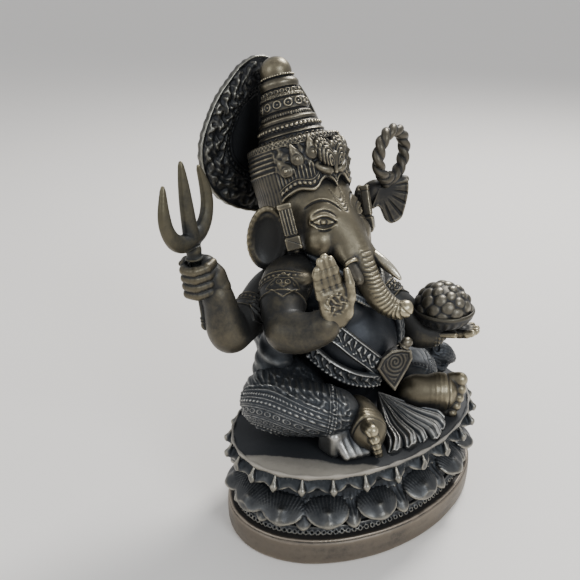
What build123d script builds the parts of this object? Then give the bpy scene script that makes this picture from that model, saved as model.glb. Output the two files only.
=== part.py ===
from build123d import *
import math
import os

os.makedirs("parts", exist_ok=True)

# Driving dimensions in millimetres. The figure faces -Y; its own right hand is at -X.
# Base, from the shelf upwards
base_half_width = 94.0      # half width of the plinth, left to right
base_half_depth = 66.0      # half depth of the plinth, front to back
wall = 8.0                  # metal of the plinth ring
plinth_top = 18.0
bead_top = 23.0
lower_top = 38.0
waist_top = 46.0
upper_top = 58.0
seat_top = 62.0
cavity_half_width = 77.0    # hollow under the seat
cavity_half_depth = 50.0
lower_petals = 16
upper_petals = 32

# Figure
belly_centre = (0, 12, 108)
belly_radius = 33.0
head_radius = 27.0
crown_lean = 22.0           # the crown tips back by this angle
crown_foot = (0, 58, 208)
halo_centre = (0, 94.5, 232)
halo_edge = ((0, 50), (14, 46), (27, 34), (42.3, 14), (51.5, -9.8), (45.5, -33.5), (20, -51.2), (0, -55))
halo_lean = 0.0

# Trident, the one piece that slides
shaft_radius = 2.3
shaft_clearance = 0.05
grip = (-96.5, 32, 168)     # point of the shaft in the middle of the fist
trident_lean = 7.0          # the shaft tips outwards by this angle
trident_turn = 25.0         # the prongs are turned from the front by this angle

lean = math.radians(trident_lean)
shaft_dir = Vector(-math.sin(lean), 0, math.cos(lean))
turn = math.radians(trident_turn)
prong_dir = Vector(math.cos(turn), math.sin(turn), 0)
shaft_plane = Plane(
    origin=grip,
    x_dir=prong_dir - shaft_dir * prong_dir.dot(shaft_dir),
    z_dir=shaft_dir,
)
crown_tilt = math.radians(crown_lean)
crown_dir = Vector(0, math.sin(crown_tilt), math.cos(crown_tilt))
crown_plane = Plane(origin=crown_foot, x_dir=(1, 0, 0), z_dir=crown_dir)
halo_tilt = math.radians(halo_lean)
halo_plane = Plane(
    origin=halo_centre,
    x_dir=(1, 0, 0),
    z_dir=(0, -math.cos(halo_tilt), math.sin(halo_tilt)),
)


def side_plane(start, run):
    """A sketch plane whose x runs along a line in space."""
    helper = Vector(0, 0, 1) if abs(run.normalized().Z) < 0.9 else Vector(0, 1, 0)
    return Plane(origin=start, x_dir=run, z_dir=run.cross(helper))


def limb(p, q, r_p, r_q):
    """Round-ended tapered bar from p to q, added to the open part."""
    run = Vector(*q) - Vector(*p)
    far = run.length
    with BuildSketch(side_plane(p, run)) as outline:
        with BuildLine():
            ThreePointArc((-r_p, 0), (-r_p * math.sqrt(0.5), r_p * math.sqrt(0.5)), (0, r_p))
            Line((0, r_p), (far, r_q))
            ThreePointArc(
                (far, r_q),
                (far + r_q * math.sqrt(0.5), r_q * math.sqrt(0.5)),
                (far + r_q, 0),
            )
            Line((far + r_q, 0), (-r_p, 0))
        make_face()
    revolve(outline.sketch, axis=Axis(p, run))


def egg(centre, axis, half_length, radius):
    """Spheroid with its own axis, added to the open part."""
    run = Vector(*axis).normalized()
    with BuildSketch(side_plane(centre, run)) as outline:
        with BuildLine():
            EllipticalCenterArc((0, 0), half_length, radius, start_angle=0, arc_size=180)
            Line((-half_length, 0), (half_length, 0))
        make_face()
    revolve(outline.sketch, axis=Axis(centre, run))


def ring(centre, normal, middle_radius, wire_radius):
    """Torus in any plane, added to the open part."""
    with Locations(Plane(origin=centre, z_dir=Vector(*normal))):
        Torus(middle_radius, wire_radius)


def oval_ring(bottom, top, half_width, half_depth, in_width, in_depth):
    """Upright oval ring between two heights, added to the open part."""
    with BuildSketch(Plane.XY.offset(bottom)) as outline:
        Ellipse(half_width, half_depth)
        Ellipse(in_width, in_depth, mode=Mode.SUBTRACT)
    extrude(outline.sketch, amount=top - bottom)


def petal_band(bottom, top, tips, outer, inner):
    """Oval band whose outline runs out to every petal tip, added to the open part."""
    corners = []
    for k in range(2 * tips):
        a = math.pi * k / tips
        span = outer if k % 2 == 0 else inner
        corners.append((span[0] * math.cos(a), span[1] * math.sin(a)))
    with BuildSketch(Plane.XY.offset(bottom)) as outline:
        with BuildLine():
            Polyline(*corners, close=True)
        make_face()
        Ellipse(cavity_half_width, cavity_half_depth, mode=Mode.SUBTRACT)
    extrude(outline.sketch, amount=top - bottom)


def belly_band(axis, low, high, thick, start, arc):
    """Strip lying on the belly between two latitudes about a tilted axis."""
    up = Vector(*axis).normalized()
    out = Vector(*start) - up * Vector(*start).dot(up)
    with BuildSketch(Plane(origin=belly_centre, x_dir=out, z_dir=out.cross(up))) as outline:
        with BuildLine():
            inner, outer = belly_radius, belly_radius + thick
            a0, a1 = math.radians(low), math.radians(high)
            am = (a0 + a1) / 2
            p = [(r * math.cos(a), r * math.sin(a)) for r in (inner, outer) for a in (a0, am, a1)]
            ThreePointArc(p[0], p[1], p[2])
            Line(p[2], p[5])
            ThreePointArc(p[5], p[4], p[3])
            Line(p[3], p[0])
        make_face()
    revolve(outline.sketch, axis=Axis(belly_centre, up), revolution_arc=arc)


# ---- base -------------------------------------------------------------------
with BuildPart() as plinth:
    with BuildSketch():
        Ellipse(base_half_width, base_half_depth)
    extrude(amount=plinth_top)
    fillet(plinth.edges().group_by(Axis.Z)[-1], radius=2.0)
    with BuildSketch():
        Ellipse(base_half_width - wall, base_half_depth - wall)
    extrude(amount=plinth_top, mode=Mode.SUBTRACT)

with BuildPart() as bead_row:
    oval_ring(plinth_top, bead_top, 90.5, 62.5, cavity_half_width, cavity_half_depth)

with BuildPart() as lower_lotus:
    oval_ring(bead_top, lower_top, 84.0, 56.5, cavity_half_width, cavity_half_depth)
    petal_band(26, 35, 2 * lower_petals, (94.0, 66.0), (86.0, 58.5))

with BuildPart() as waist_ring:
    oval_ring(lower_top, waist_top, 82.0, 55.0, cavity_half_width, cavity_half_depth)

with BuildPart() as upper_lotus:
    oval_ring(waist_top, upper_top, 84.0, 57.0, cavity_half_width, cavity_half_depth)
    petal_band(48, 57, upper_petals, (94.0, 66.0), (87.0, 59.5))

with BuildPart() as seat_plate:
    with BuildSketch(Plane.XY.offset(upper_top)):
        Ellipse(91.0, 63.0)
    extrude(amount=seat_top - upper_top)
    fillet(seat_plate.edges().group_by(Axis.Z)[-1], radius=1.2)

# ---- trunk of the body --------------------------------------------------------
with BuildPart() as torso:
    with Locations(belly_centre):
        Sphere(belly_radius)
    limb((0, 22, 122), (0, 32, 146), 29.0, 25.0)

with BuildPart() as hips:
    with BuildSketch(Plane.XY.offset(seat_top)):
        with Locations((0, 22)):
            Ellipse(40, 30)
    extrude(amount=24)
    add(torso.part, mode=Mode.SUBTRACT)

with BuildPart() as shawl:
    with BuildSketch(Plane.XY.offset(seat_top)):
        with Locations((0, 38)):
            Ellipse(46, 21)
    with BuildSketch(Plane.XY.offset(112)):
        with Locations((0, 45)):
            Ellipse(43, 18)
    with BuildSketch(Plane.XY.offset(160)):
        with Locations((0, 46)):
            Ellipse(42, 13)
    loft()
    add(torso.part, mode=Mode.SUBTRACT)
    add(hips.part, mode=Mode.SUBTRACT)

# ---- legs -----------------------------------------------------------------------
with BuildPart() as right_thigh:
    limb((-22, 22, 86), (-66, 7, 91), 16.0, 17.0)
    for block in (torso, hips, shawl):
        add(block.part, mode=Mode.SUBTRACT)

with BuildPart() as left_thigh:
    limb((22, 22, 82), (58, 4, 73.5), 15.0, 12.0)
    for block in (torso, hips, shawl):
        add(block.part, mode=Mode.SUBTRACT)

with BuildPart() as right_shin:
    limb((-62, -2, 88), (-33, -25, 83), 14.5, 12.0)
    for block in (torso, hips, right_thigh):
        add(block.part, mode=Mode.SUBTRACT)

with BuildPart() as left_shin:
    limb((57, -4, 74), (34, -20, 74), 11.6, 10.6)
    for block in (torso, hips, left_thigh):
        add(block.part, mode=Mode.SUBTRACT)

with BuildPart() as right_foot:
    limb((-22, -29, 80), (-33, -48, 77), 8.5, 10.5)
    limb((-31, -45, 70), (-34.5, -51.5, 69), 8.0, 7.0)
    add(right_shin.part, mode=Mode.SUBTRACT)

with BuildPart() as left_foot:
    limb((30, -29, 76), (48, -43, 77), 9.0, 10.0)
    limb((47, -42, 70), (52.5, -45.5, 69.5), 8.0, 7.5)
    add(left_shin.part, mode=Mode.SUBTRACT)

with BuildPart() as hem_support:
    with BuildSketch(Plane.XY.offset(seat_top)):
        with Locations((-41, -30)):
            Rectangle(16, 12, rotation=-40)
    extrude(amount=16)
    add(right_shin.part, mode=Mode.SUBTRACT)
    add(right_foot.part, mode=Mode.SUBTRACT)

with BuildPart() as front_pleats:
    with BuildSketch(Plane.XY.offset(seat_top)):
        with BuildLine():
            Polyline((-8, -16), (-15, -54), (8, -60), (33, -52), (26, -18), (-8, -16))
        make_face()
    extrude(amount=9)
    for block in (torso, hips, right_foot, left_foot, right_shin, left_shin):
        add(block.part, mode=Mode.SUBTRACT)

# ---- cloth on the belly -----------------------------------------------------------
with BuildPart() as waist_sash:
    belly_band((0, -0.22, 1), -38, -24, 3.0, (-1, 0.35, 0), 130)
    for block in (hips, shawl, right_thigh, left_thigh, right_shin, left_shin):
        add(block.part, mode=Mode.SUBTRACT)

with BuildPart() as sash_knot:
    limb((-4, -27, 91), (5, -24, 113), 3.2, 6.4)
    limb((6, -25, 116), (12, -24, 119), 4.0, 3.4)
    for block in (torso, waist_sash, front_pleats, hips, right_shin, left_shin):
        add(block.part, mode=Mode.SUBTRACT)

with BuildPart() as sacred_thread:
    belly_band((0.2, 0.75, 0.62), -5, 6, 2.2, (-1, 0.1, 0.2), 120)
    for block in (waist_sash, sash_knot):
        add(block.part, mode=Mode.SUBTRACT)

# ---- right arms --------------------------------------------------------------------
with BuildPart() as right_front_arm:
    limb((-41, 24, 153.5), (-59, 0, 138.5), 13.0, 10.5)
    for block in (torso, shawl):
        add(block.part, mode=Mode.SUBTRACT)

with BuildPart() as right_front_forearm:
    limb((-60, -2, 137), (-46, -21, 144.5), 10.0, 7.5)
    for block in (right_front_arm, torso):
        add(block.part, mode=Mode.SUBTRACT)

with BuildPart() as blessing_hand:
    palm_plane = Plane(origin=(-44, -25, 157), z_dir=(-0.35, -0.92, 0.1))
    with BuildSketch(palm_plane.offset(-4.5)):
        Circle(11.0)
    extrude(amount=9)
    for k in range(4):
        step = (k - 1.5) * 4.3
        limb(
            (-45.5 + 0.93 * step, -22.6 - 0.35 * step, 164),
            (-48.5 + 0.93 * step, -16 - 0.35 * step, 184 - abs(k - 1.3)),
            2.0,
            1.8,
        )
    limb((-36, -27, 158), (-36.5, -25, 177), 3.2, 2.3)
    for block in (right_front_forearm, right_front_arm):
        add(block.part, mode=Mode.SUBTRACT)

with BuildPart() as right_front_armlet:
    ring((-50, 12.0, 146), (-18, -24, -15), 11.8, 2.2)
    for block in (right_front_arm, torso, shawl, right_front_forearm):
        add(block.part, mode=Mode.SUBTRACT)

with BuildPart() as right_front_bracelet:
    ring((-49, -17, 142.8), (14, -19, 7.5), 8.2, 1.9)
    for block in (right_front_forearm, blessing_hand):
        add(block.part, mode=Mode.SUBTRACT)

with BuildPart() as right_rear_arm:
    limb((-44, 40, 145), (-81.5, 22.5, 133), 11.0, 10.0)
    for block in (torso, shawl, right_front_arm, right_front_armlet):
        add(block.part, mode=Mode.SUBTRACT)

with BuildPart() as right_rear_forearm:
    limb((-83, 22.5, 134), (-87, 26, 155), 9.0, 7.0)
    add(right_rear_arm.part, mode=Mode.SUBTRACT)
    with Locations(shaft_plane):
        Cylinder(shaft_radius + 0.4, 90, mode=Mode.SUBTRACT)

with BuildPart() as trident_hand:
    with BuildSketch(shaft_plane.offset(-10)):
        RectangleRounded(16, 19, 6)
    extrude(amount=20)
    fillet(trident_hand.edges().group_by(Axis.Z)[-1], radius=3.0)
    limb((-88, 26.5, 159), (-95, 30, 163), 7.5, 7.0)
    for block in (right_rear_forearm, right_rear_arm):
        add(block.part, mode=Mode.SUBTRACT)
    with Locations(shaft_plane):
        Cylinder(shaft_radius + shaft_clearance, 90, mode=Mode.SUBTRACT)

with BuildPart() as right_rear_bracelet:
    ring((-86.2, 25, 151), (-5, 6, 27), 8.4, 2.0)
    for block in (right_rear_forearm, trident_hand):
        add(block.part, mode=Mode.SUBTRACT)
    with Locations(shaft_plane):
        Cylinder(shaft_radius + 0.4, 90, mode=Mode.SUBTRACT)

with BuildPart() as right_rear_armlet:
    ring((-63.2, 31.0, 139), (-37.5, -17.5, -12), 11.4, 2.2)
    for block in (right_rear_arm, shawl, torso, right_front_arm, right_front_armlet):
        add(block.part, mode=Mode.SUBTRACT)

# ---- trident ---------------------------------------------------------------------
with BuildPart() as trident:
    with BuildSketch(shaft_plane.offset(-31)):
        Circle(shaft_radius)
    extrude(amount=53)
    with BuildSketch(shaft_plane.offset(10.4)):
        Circle(4.6)
    extrude(amount=11.6)


def from_grip(x, z, back=0.0):
    """Point in the plane of the prongs, z along the shaft."""
    spot = shaft_plane.from_local_coords(Vector(x, back, z))
    return (spot.X, spot.Y, spot.Z)


with BuildPart() as trident_head:
    limb(from_grip(0, 26), from_grip(1.5, 68), 4.4, 1.4)
    for s in (-1, 1):
        limb(from_grip(2.0 * s, 25), from_grip(15 * s, 30), 3.9, 3.4)
        limb(from_grip(15 * s, 30), from_grip(20.5 * s, 42), 3.45, 3.1)
        limb(from_grip(20.5 * s, 42), from_grip(17.5 * s, 61), 3.15, 1.2)
    add(trident.part, mode=Mode.SUBTRACT)

# ---- left arms ---------------------------------------------------------------------
with BuildPart() as left_front_arm:
    limb((41, 24, 152), (57, 22, 127), 13.0, 10.5)
    for block in (torso, shawl):
        add(block.part, mode=Mode.SUBTRACT)

with BuildPart() as left_front_forearm:
    limb((57, 20, 126), (53, -4, 116), 9.5, 7.5)
    for block in (left_front_arm, torso):
        add(block.part, mode=Mode.SUBTRACT)

with BuildPart() as bowl:
    with BuildSketch(Plane(origin=(55, -22, 128), x_dir=(1, 0, 0), z_dir=(0, -1, 0))):
        with BuildLine():
            Line((0, 0), (19.5, 0))
            ThreePointArc((19.5, 0), (14.2, -12.5), (4, -17.5))
            Line((4, -17.5), (0, -17.5))
            Line((0, -17.5), (0, 0))
        make_face()
    revolve(axis=Axis((55, -22, 128), (0, 0, 1)))
    add(left_front_forearm.part, mode=Mode.SUBTRACT)

with BuildPart() as sweets:
    with BuildSketch(Plane(origin=(55, -22, 128), x_dir=(1, 0, 0), z_dir=(0, -1, 0))):
        with BuildLine():
            Line((0, 0), (18.8, 0))
            ThreePointArc((18.8, 0), (13.4, 11.2), (3, 15.5))
            Line((3, 15.5), (0, 15.5))
            Line((0, 15.5), (0, 0))
        make_face()
    revolve(axis=Axis((55, -22, 128), (0, 0, 1)))

with BuildPart() as bowl_hand:
    with BuildSketch(Plane.XY.offset(105.5)):
        with Locations((55, -19)):
            Circle(12)
    extrude(amount=6.5)
    limb((53.8, -7, 112.5), (55, -13, 110), 6.3, 4.2)
    for k in range(4):
        step = (k - 1.5) * 4.7
        limb((57 + step, -26, 108.4), (61 + 1.2 * step, -41 + abs(step), 114), 2.5, 2.1)
    for block in (left_front_forearm, bowl):
        add(block.part, mode=Mode.SUBTRACT)

with BuildPart() as left_front_bracelet:
    ring((53.4, -1.5, 117.2), (-4, -24, -10), 8.7, 1.9)
    for block in (left_front_forearm, bowl_hand, bowl):
        add(block.part, mode=Mode.SUBTRACT)

with BuildPart() as left_rear_arm:
    limb((42, 44, 142), (52, 53, 153), 11.0, 9.5)
    for block in (torso, shawl, left_front_arm):
        add(block.part, mode=Mode.SUBTRACT)

# ---- head --------------------------------------------------------------------------
with BuildPart() as head:
    limb((0, 50, 192), (0, 34, 186), 29.0, head_radius)
    limb((0, 44, 176), (0, 36, 160), 22.0, 20.0)
    for block in (torso, shawl):
        add(block.part, mode=Mode.SUBTRACT)

with BuildPart() as trunk:
    limb((0, 20, 182), (0, 4, 172), 16.0, 11.6)
    limb((0, 4, 172), (1, -9, 159), 11.2, 9.2)
    limb((1, -9, 159), (4, -18, 149), 9.0, 8.0)
    limb((4, -18, 149), (8, -27, 142), 7.8, 6.4)
    limb((8, -27, 142), (12, -30.5, 138), 6.0, 5.0)
    for block in (head, torso):
        add(block.part, mode=Mode.SUBTRACT)

with BuildPart() as right_tusk:
    limb((-10, -3, 166), (-14, -20, 160), 3.4, 1.5)
    for block in (trunk, head):
        add(block.part, mode=Mode.SUBTRACT)

with BuildPart() as left_tusk:
    limb((10, -3, 168), (15, -20, 157), 3.4, 1.5)
    for block in (trunk, head):
        add(block.part, mode=Mode.SUBTRACT)


def ear_plane(side):
    """Plane of an ear, x pointing out and back."""
    return Plane(origin=(37 * side, 46, 177), x_dir=(0.68 * side, 0.73, 0), z_dir=(0.73, -0.68 * side, 0))


with BuildPart() as right_ear:
    with BuildSketch(ear_plane(-1)):
        Ellipse(13, 19)
    extrude(amount=2.4, both=True)
    for block in (head, torso, shawl, right_front_arm):
        add(block.part, mode=Mode.SUBTRACT)

with BuildPart() as left_ear:
    with BuildSketch(ear_plane(1)):
        Ellipse(13, 19)
    extrude(amount=2.4, both=True)
    for block in (head, torso, shawl, left_front_arm, left_rear_arm):
        add(block.part, mode=Mode.SUBTRACT)

with BuildPart() as left_rear_forearm:
    limb((52, 52, 154), (43, 40, 186), 8.5, 6.5)
    for block in (left_rear_arm, left_ear, head):
        add(block.part, mode=Mode.SUBTRACT)

with BuildPart() as noose_hand:
    limb((45, 38, 190), (52, 31, 196), 6.8, 6.4)
    with BuildSketch(Plane(origin=(0, 33, 0), x_dir=(1, 0, 0), z_dir=(0, -1, 0))):
        with BuildLine():
            Polyline((43, 199), (68, 204), (69, 192), (60, 176), (50, 178), (45, 188), (43, 199))
        make_face()
    extrude(amount=6)
    add(left_rear_forearm.part, mode=Mode.SUBTRACT)

with BuildPart() as left_rear_bracelet:
    ring((44, 41.3, 182.5), (-9, -12, 32), 7.8, 1.8)
    for block in (left_rear_forearm, noose_hand, left_ear, head):
        add(block.part, mode=Mode.SUBTRACT)

with BuildPart() as noose:
    with BuildSketch(Plane(origin=(52, 28, 219.5), x_dir=(0.9727, 0.2317, 0), z_dir=(0, 0, 1))) as strand:
        with Locations((15.8, 0)):
            RegularPolygon(4.1, 12)
    revolve(strand.sketch, axis=Axis((52, 28, 219.5), (-0.2317, 0.9727, 0)))
    add(noose_hand.part, mode=Mode.SUBTRACT)

# ---- crown and halo ----------------------------------------------------------------
with BuildPart() as crown_band:
    with BuildSketch(crown_plane.offset(-3)):
        Circle(32.0)
    with BuildSketch(crown_plane.offset(22)):
        Circle(29.0)
    loft()
    for block in (head, right_ear, left_ear):
        add(block.part, mode=Mode.SUBTRACT)

with BuildPart() as crown_medallion:
    with BuildSketch(Plane(origin=(0, 34, 226.5), x_dir=(1, 0, 0), z_dir=(0, -0.93, 0.37))):
        Circle(8.5)
    extrude(amount=8)
    for block in (crown_band, head):
        add(block.part, mode=Mode.SUBTRACT)

with BuildPart() as crown_lower_tier:
    with BuildSketch(crown_plane.offset(22)):
        Circle(23.0)
    with BuildSketch(crown_plane.offset(36)):
        Circle(18.5)
    loft()

with BuildPart() as crown_middle_tier:
    with BuildSketch(crown_plane.offset(36)):
        Circle(16.5)
    with BuildSketch(crown_plane.offset(52)):
        Circle(14.0)
    loft()

with BuildPart() as crown_upper_tier:
    with BuildSketch(crown_plane.offset(52)):
        Circle(12.8)
    with BuildSketch(crown_plane.offset(65)):
        Circle(10.0)
    loft()

with BuildPart() as crown_finial:
    with BuildSketch(crown_plane.offset(65)):
        Circle(9.0)
    extrude(amount=4)
    limb((0, 82.5, 268.7), (0, 84.8, 274.2), 6.6, 4.6)
    add(crown_upper_tier.part, mode=Mode.SUBTRACT)

with BuildPart() as right_lappet:
    limb((-32, 33, 196), (-31, 27, 178), 4.2, 4.8)
    for block in (head, right_ear, crown_band):
        add(block.part, mode=Mode.SUBTRACT)

with BuildPart() as left_lappet:
    limb((32, 33, 196), (31, 27, 178), 4.2, 4.8)
    for block in (head, left_ear, crown_band):
        add(block.part, mode=Mode.SUBTRACT)

def halo_outline(share):
    """Half and mirrored half of the leaf-shaped halo, added to the open line."""
    right = [(x * share, y * share) for x, y in halo_edge]
    left = [(-x, y) for x, y in reversed(right)]
    Spline(*right, tangents=((1, 0), (-1, 0)))
    Spline(*left, tangents=((-1, 0), (1, 0)))


with BuildPart() as halo_disc:
    with BuildSketch(halo_plane.offset(-2)):
        with BuildLine():
            halo_outline(0.87)
        make_face()
    extrude(amount=4)
    limb((0, 84, 238), (0, 91.5, 237), 4.5, 4.5)
    for block in (crown_band, crown_lower_tier, crown_middle_tier):
        add(block.part, mode=Mode.SUBTRACT)

with BuildPart() as halo_rim:
    with BuildSketch(halo_plane.offset(-3.5)):
        with BuildLine():
            halo_outline(1.0)
        make_face()
        with BuildLine():
            halo_outline(0.87)
        make_face(mode=Mode.SUBTRACT)
    extrude(amount=7)

# ---- mouse -------------------------------------------------------------------------
with BuildPart() as mouse:
    limb((66, 5, 72.5), (72, -4, 75), 10.4, 9.6)
    limb((76, -9, 80), (85, -15, 74.5), 8.0, 3.4)
    limb((76, -5, 85), (78, -5, 92), 4.2, 1.8)
    limb((62, 14, 65.5), (76, 19, 65), 3.2, 2.4)
    for block in (left_thigh, left_shin, left_foot):
        add(block.part, mode=Mode.SUBTRACT)

pieces = {
    "plinth": plinth,
    "bead_row": bead_row,
    "lower_lotus": lower_lotus,
    "waist_ring": waist_ring,
    "upper_lotus": upper_lotus,
    "seat_plate": seat_plate,
    "torso": torso,
    "hips": hips,
    "shawl": shawl,
    "right_thigh": right_thigh,
    "left_thigh": left_thigh,
    "right_shin": right_shin,
    "left_shin": left_shin,
    "right_foot": right_foot,
    "left_foot": left_foot,
    "hem_support": hem_support,
    "front_pleats": front_pleats,
    "waist_sash": waist_sash,
    "sash_knot": sash_knot,
    "sacred_thread": sacred_thread,
    "right_front_arm": right_front_arm,
    "right_front_forearm": right_front_forearm,
    "blessing_hand": blessing_hand,
    "right_front_armlet": right_front_armlet,
    "right_front_bracelet": right_front_bracelet,
    "right_rear_arm": right_rear_arm,
    "right_rear_forearm": right_rear_forearm,
    "trident_hand": trident_hand,
    "right_rear_bracelet": right_rear_bracelet,
    "right_rear_armlet": right_rear_armlet,
    "trident_shaft": trident,
    "trident_head": trident_head,
    "left_front_arm": left_front_arm,
    "left_front_forearm": left_front_forearm,
    "bowl": bowl,
    "sweets": sweets,
    "bowl_hand": bowl_hand,
    "left_front_bracelet": left_front_bracelet,
    "left_rear_arm": left_rear_arm,
    "head": head,
    "trunk": trunk,
    "right_tusk": right_tusk,
    "left_tusk": left_tusk,
    "right_ear": right_ear,
    "left_ear": left_ear,
    "left_rear_forearm": left_rear_forearm,
    "noose_hand": noose_hand,
    "left_rear_bracelet": left_rear_bracelet,
    "noose": noose,
    "crown_band": crown_band,
    "crown_medallion": crown_medallion,
    "crown_lower_tier": crown_lower_tier,
    "crown_middle_tier": crown_middle_tier,
    "crown_upper_tier": crown_upper_tier,
    "crown_finial": crown_finial,
    "right_lappet": right_lappet,
    "left_lappet": left_lappet,
    "halo_disc": halo_disc,
    "halo_rim": halo_rim,
    "mouse": mouse,
}
for label, piece in pieces.items():
    piece.part.label = label
    export_step(piece.part, f"parts/{label}.step")
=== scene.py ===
import math

import bpy
import numpy as np
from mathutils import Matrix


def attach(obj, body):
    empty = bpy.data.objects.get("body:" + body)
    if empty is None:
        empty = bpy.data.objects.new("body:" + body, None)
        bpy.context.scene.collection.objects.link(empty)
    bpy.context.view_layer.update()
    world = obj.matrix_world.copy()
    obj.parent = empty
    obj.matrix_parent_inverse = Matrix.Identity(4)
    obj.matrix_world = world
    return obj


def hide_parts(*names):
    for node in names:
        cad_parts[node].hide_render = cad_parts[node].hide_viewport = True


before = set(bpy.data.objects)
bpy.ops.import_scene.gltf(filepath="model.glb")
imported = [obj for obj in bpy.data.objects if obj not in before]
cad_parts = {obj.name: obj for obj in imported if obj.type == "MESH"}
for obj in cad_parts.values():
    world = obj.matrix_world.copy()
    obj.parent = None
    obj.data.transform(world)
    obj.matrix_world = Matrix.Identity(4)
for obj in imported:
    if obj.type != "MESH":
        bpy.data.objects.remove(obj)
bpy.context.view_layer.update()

import openvdb
from mathutils import Vector

F = np.float32
FINE = 1.0


# ---------------------------------------------------------------- small maths
def vec(p):
    return np.array(p, F)


def unit(p):
    p = np.array(p, float)
    return p / np.linalg.norm(p)


def axes(z, x=(1, 0, 0)):
    """Three rows: x, y and z axes of a local frame."""
    z = unit(z)
    x = np.array(x, float)
    if abs(np.dot(unit(x), z)) > 0.95:
        x = np.array((0.0, 1.0, 0.0))
    x = unit(x - z * np.dot(x, z))
    return np.stack([x, np.cross(z, x), z]).astype(F)


def smooth(a, b, x):
    t = np.clip((x - a) / (b - a), 0, 1)
    return t * t * (3 - 2 * t)


def bump(x, w):
    """Smooth hill of half-width w round zero."""
    t = np.clip(1 - (x / w) ** 2, 0, 1)
    return t * t


def spline(points, n):
    """Points along a Catmull-Rom curve, with any columns carried along."""
    p = np.array(points, float)
    p = np.vstack([2 * p[0] - p[1], p, 2 * p[-1] - p[-2]])
    out = []
    for i in range(1, len(p) - 2):
        for t in np.linspace(0, 1, n, endpoint=False):
            a, b, c, d = p[i - 1 : i + 3]
            out.append(0.5 * (2 * b + (c - a) * t + (2 * a - 5 * b + 4 * c - d) * t * t
                              + (3 * b - a - 3 * c + d) * t ** 3))
    out.append(p[-2])
    return np.array(out)


def turned(R, c, X, Y, Z):
    """Places measured from c along the three axes in R."""
    x, y, z = X - c[0], Y - c[1], Z - c[2]
    return [R[i, 0] * x + R[i, 1] * y + R[i, 2] * z for i in range(3)]


# ---------------------------------------------------------------- clay
MASS_LO, MASS_STEP = np.array((-140.0, -90.0, -10.0)), 2.0
MASS = np.zeros((140, 115, 150), F)   # coarse picture of where metal is


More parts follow.
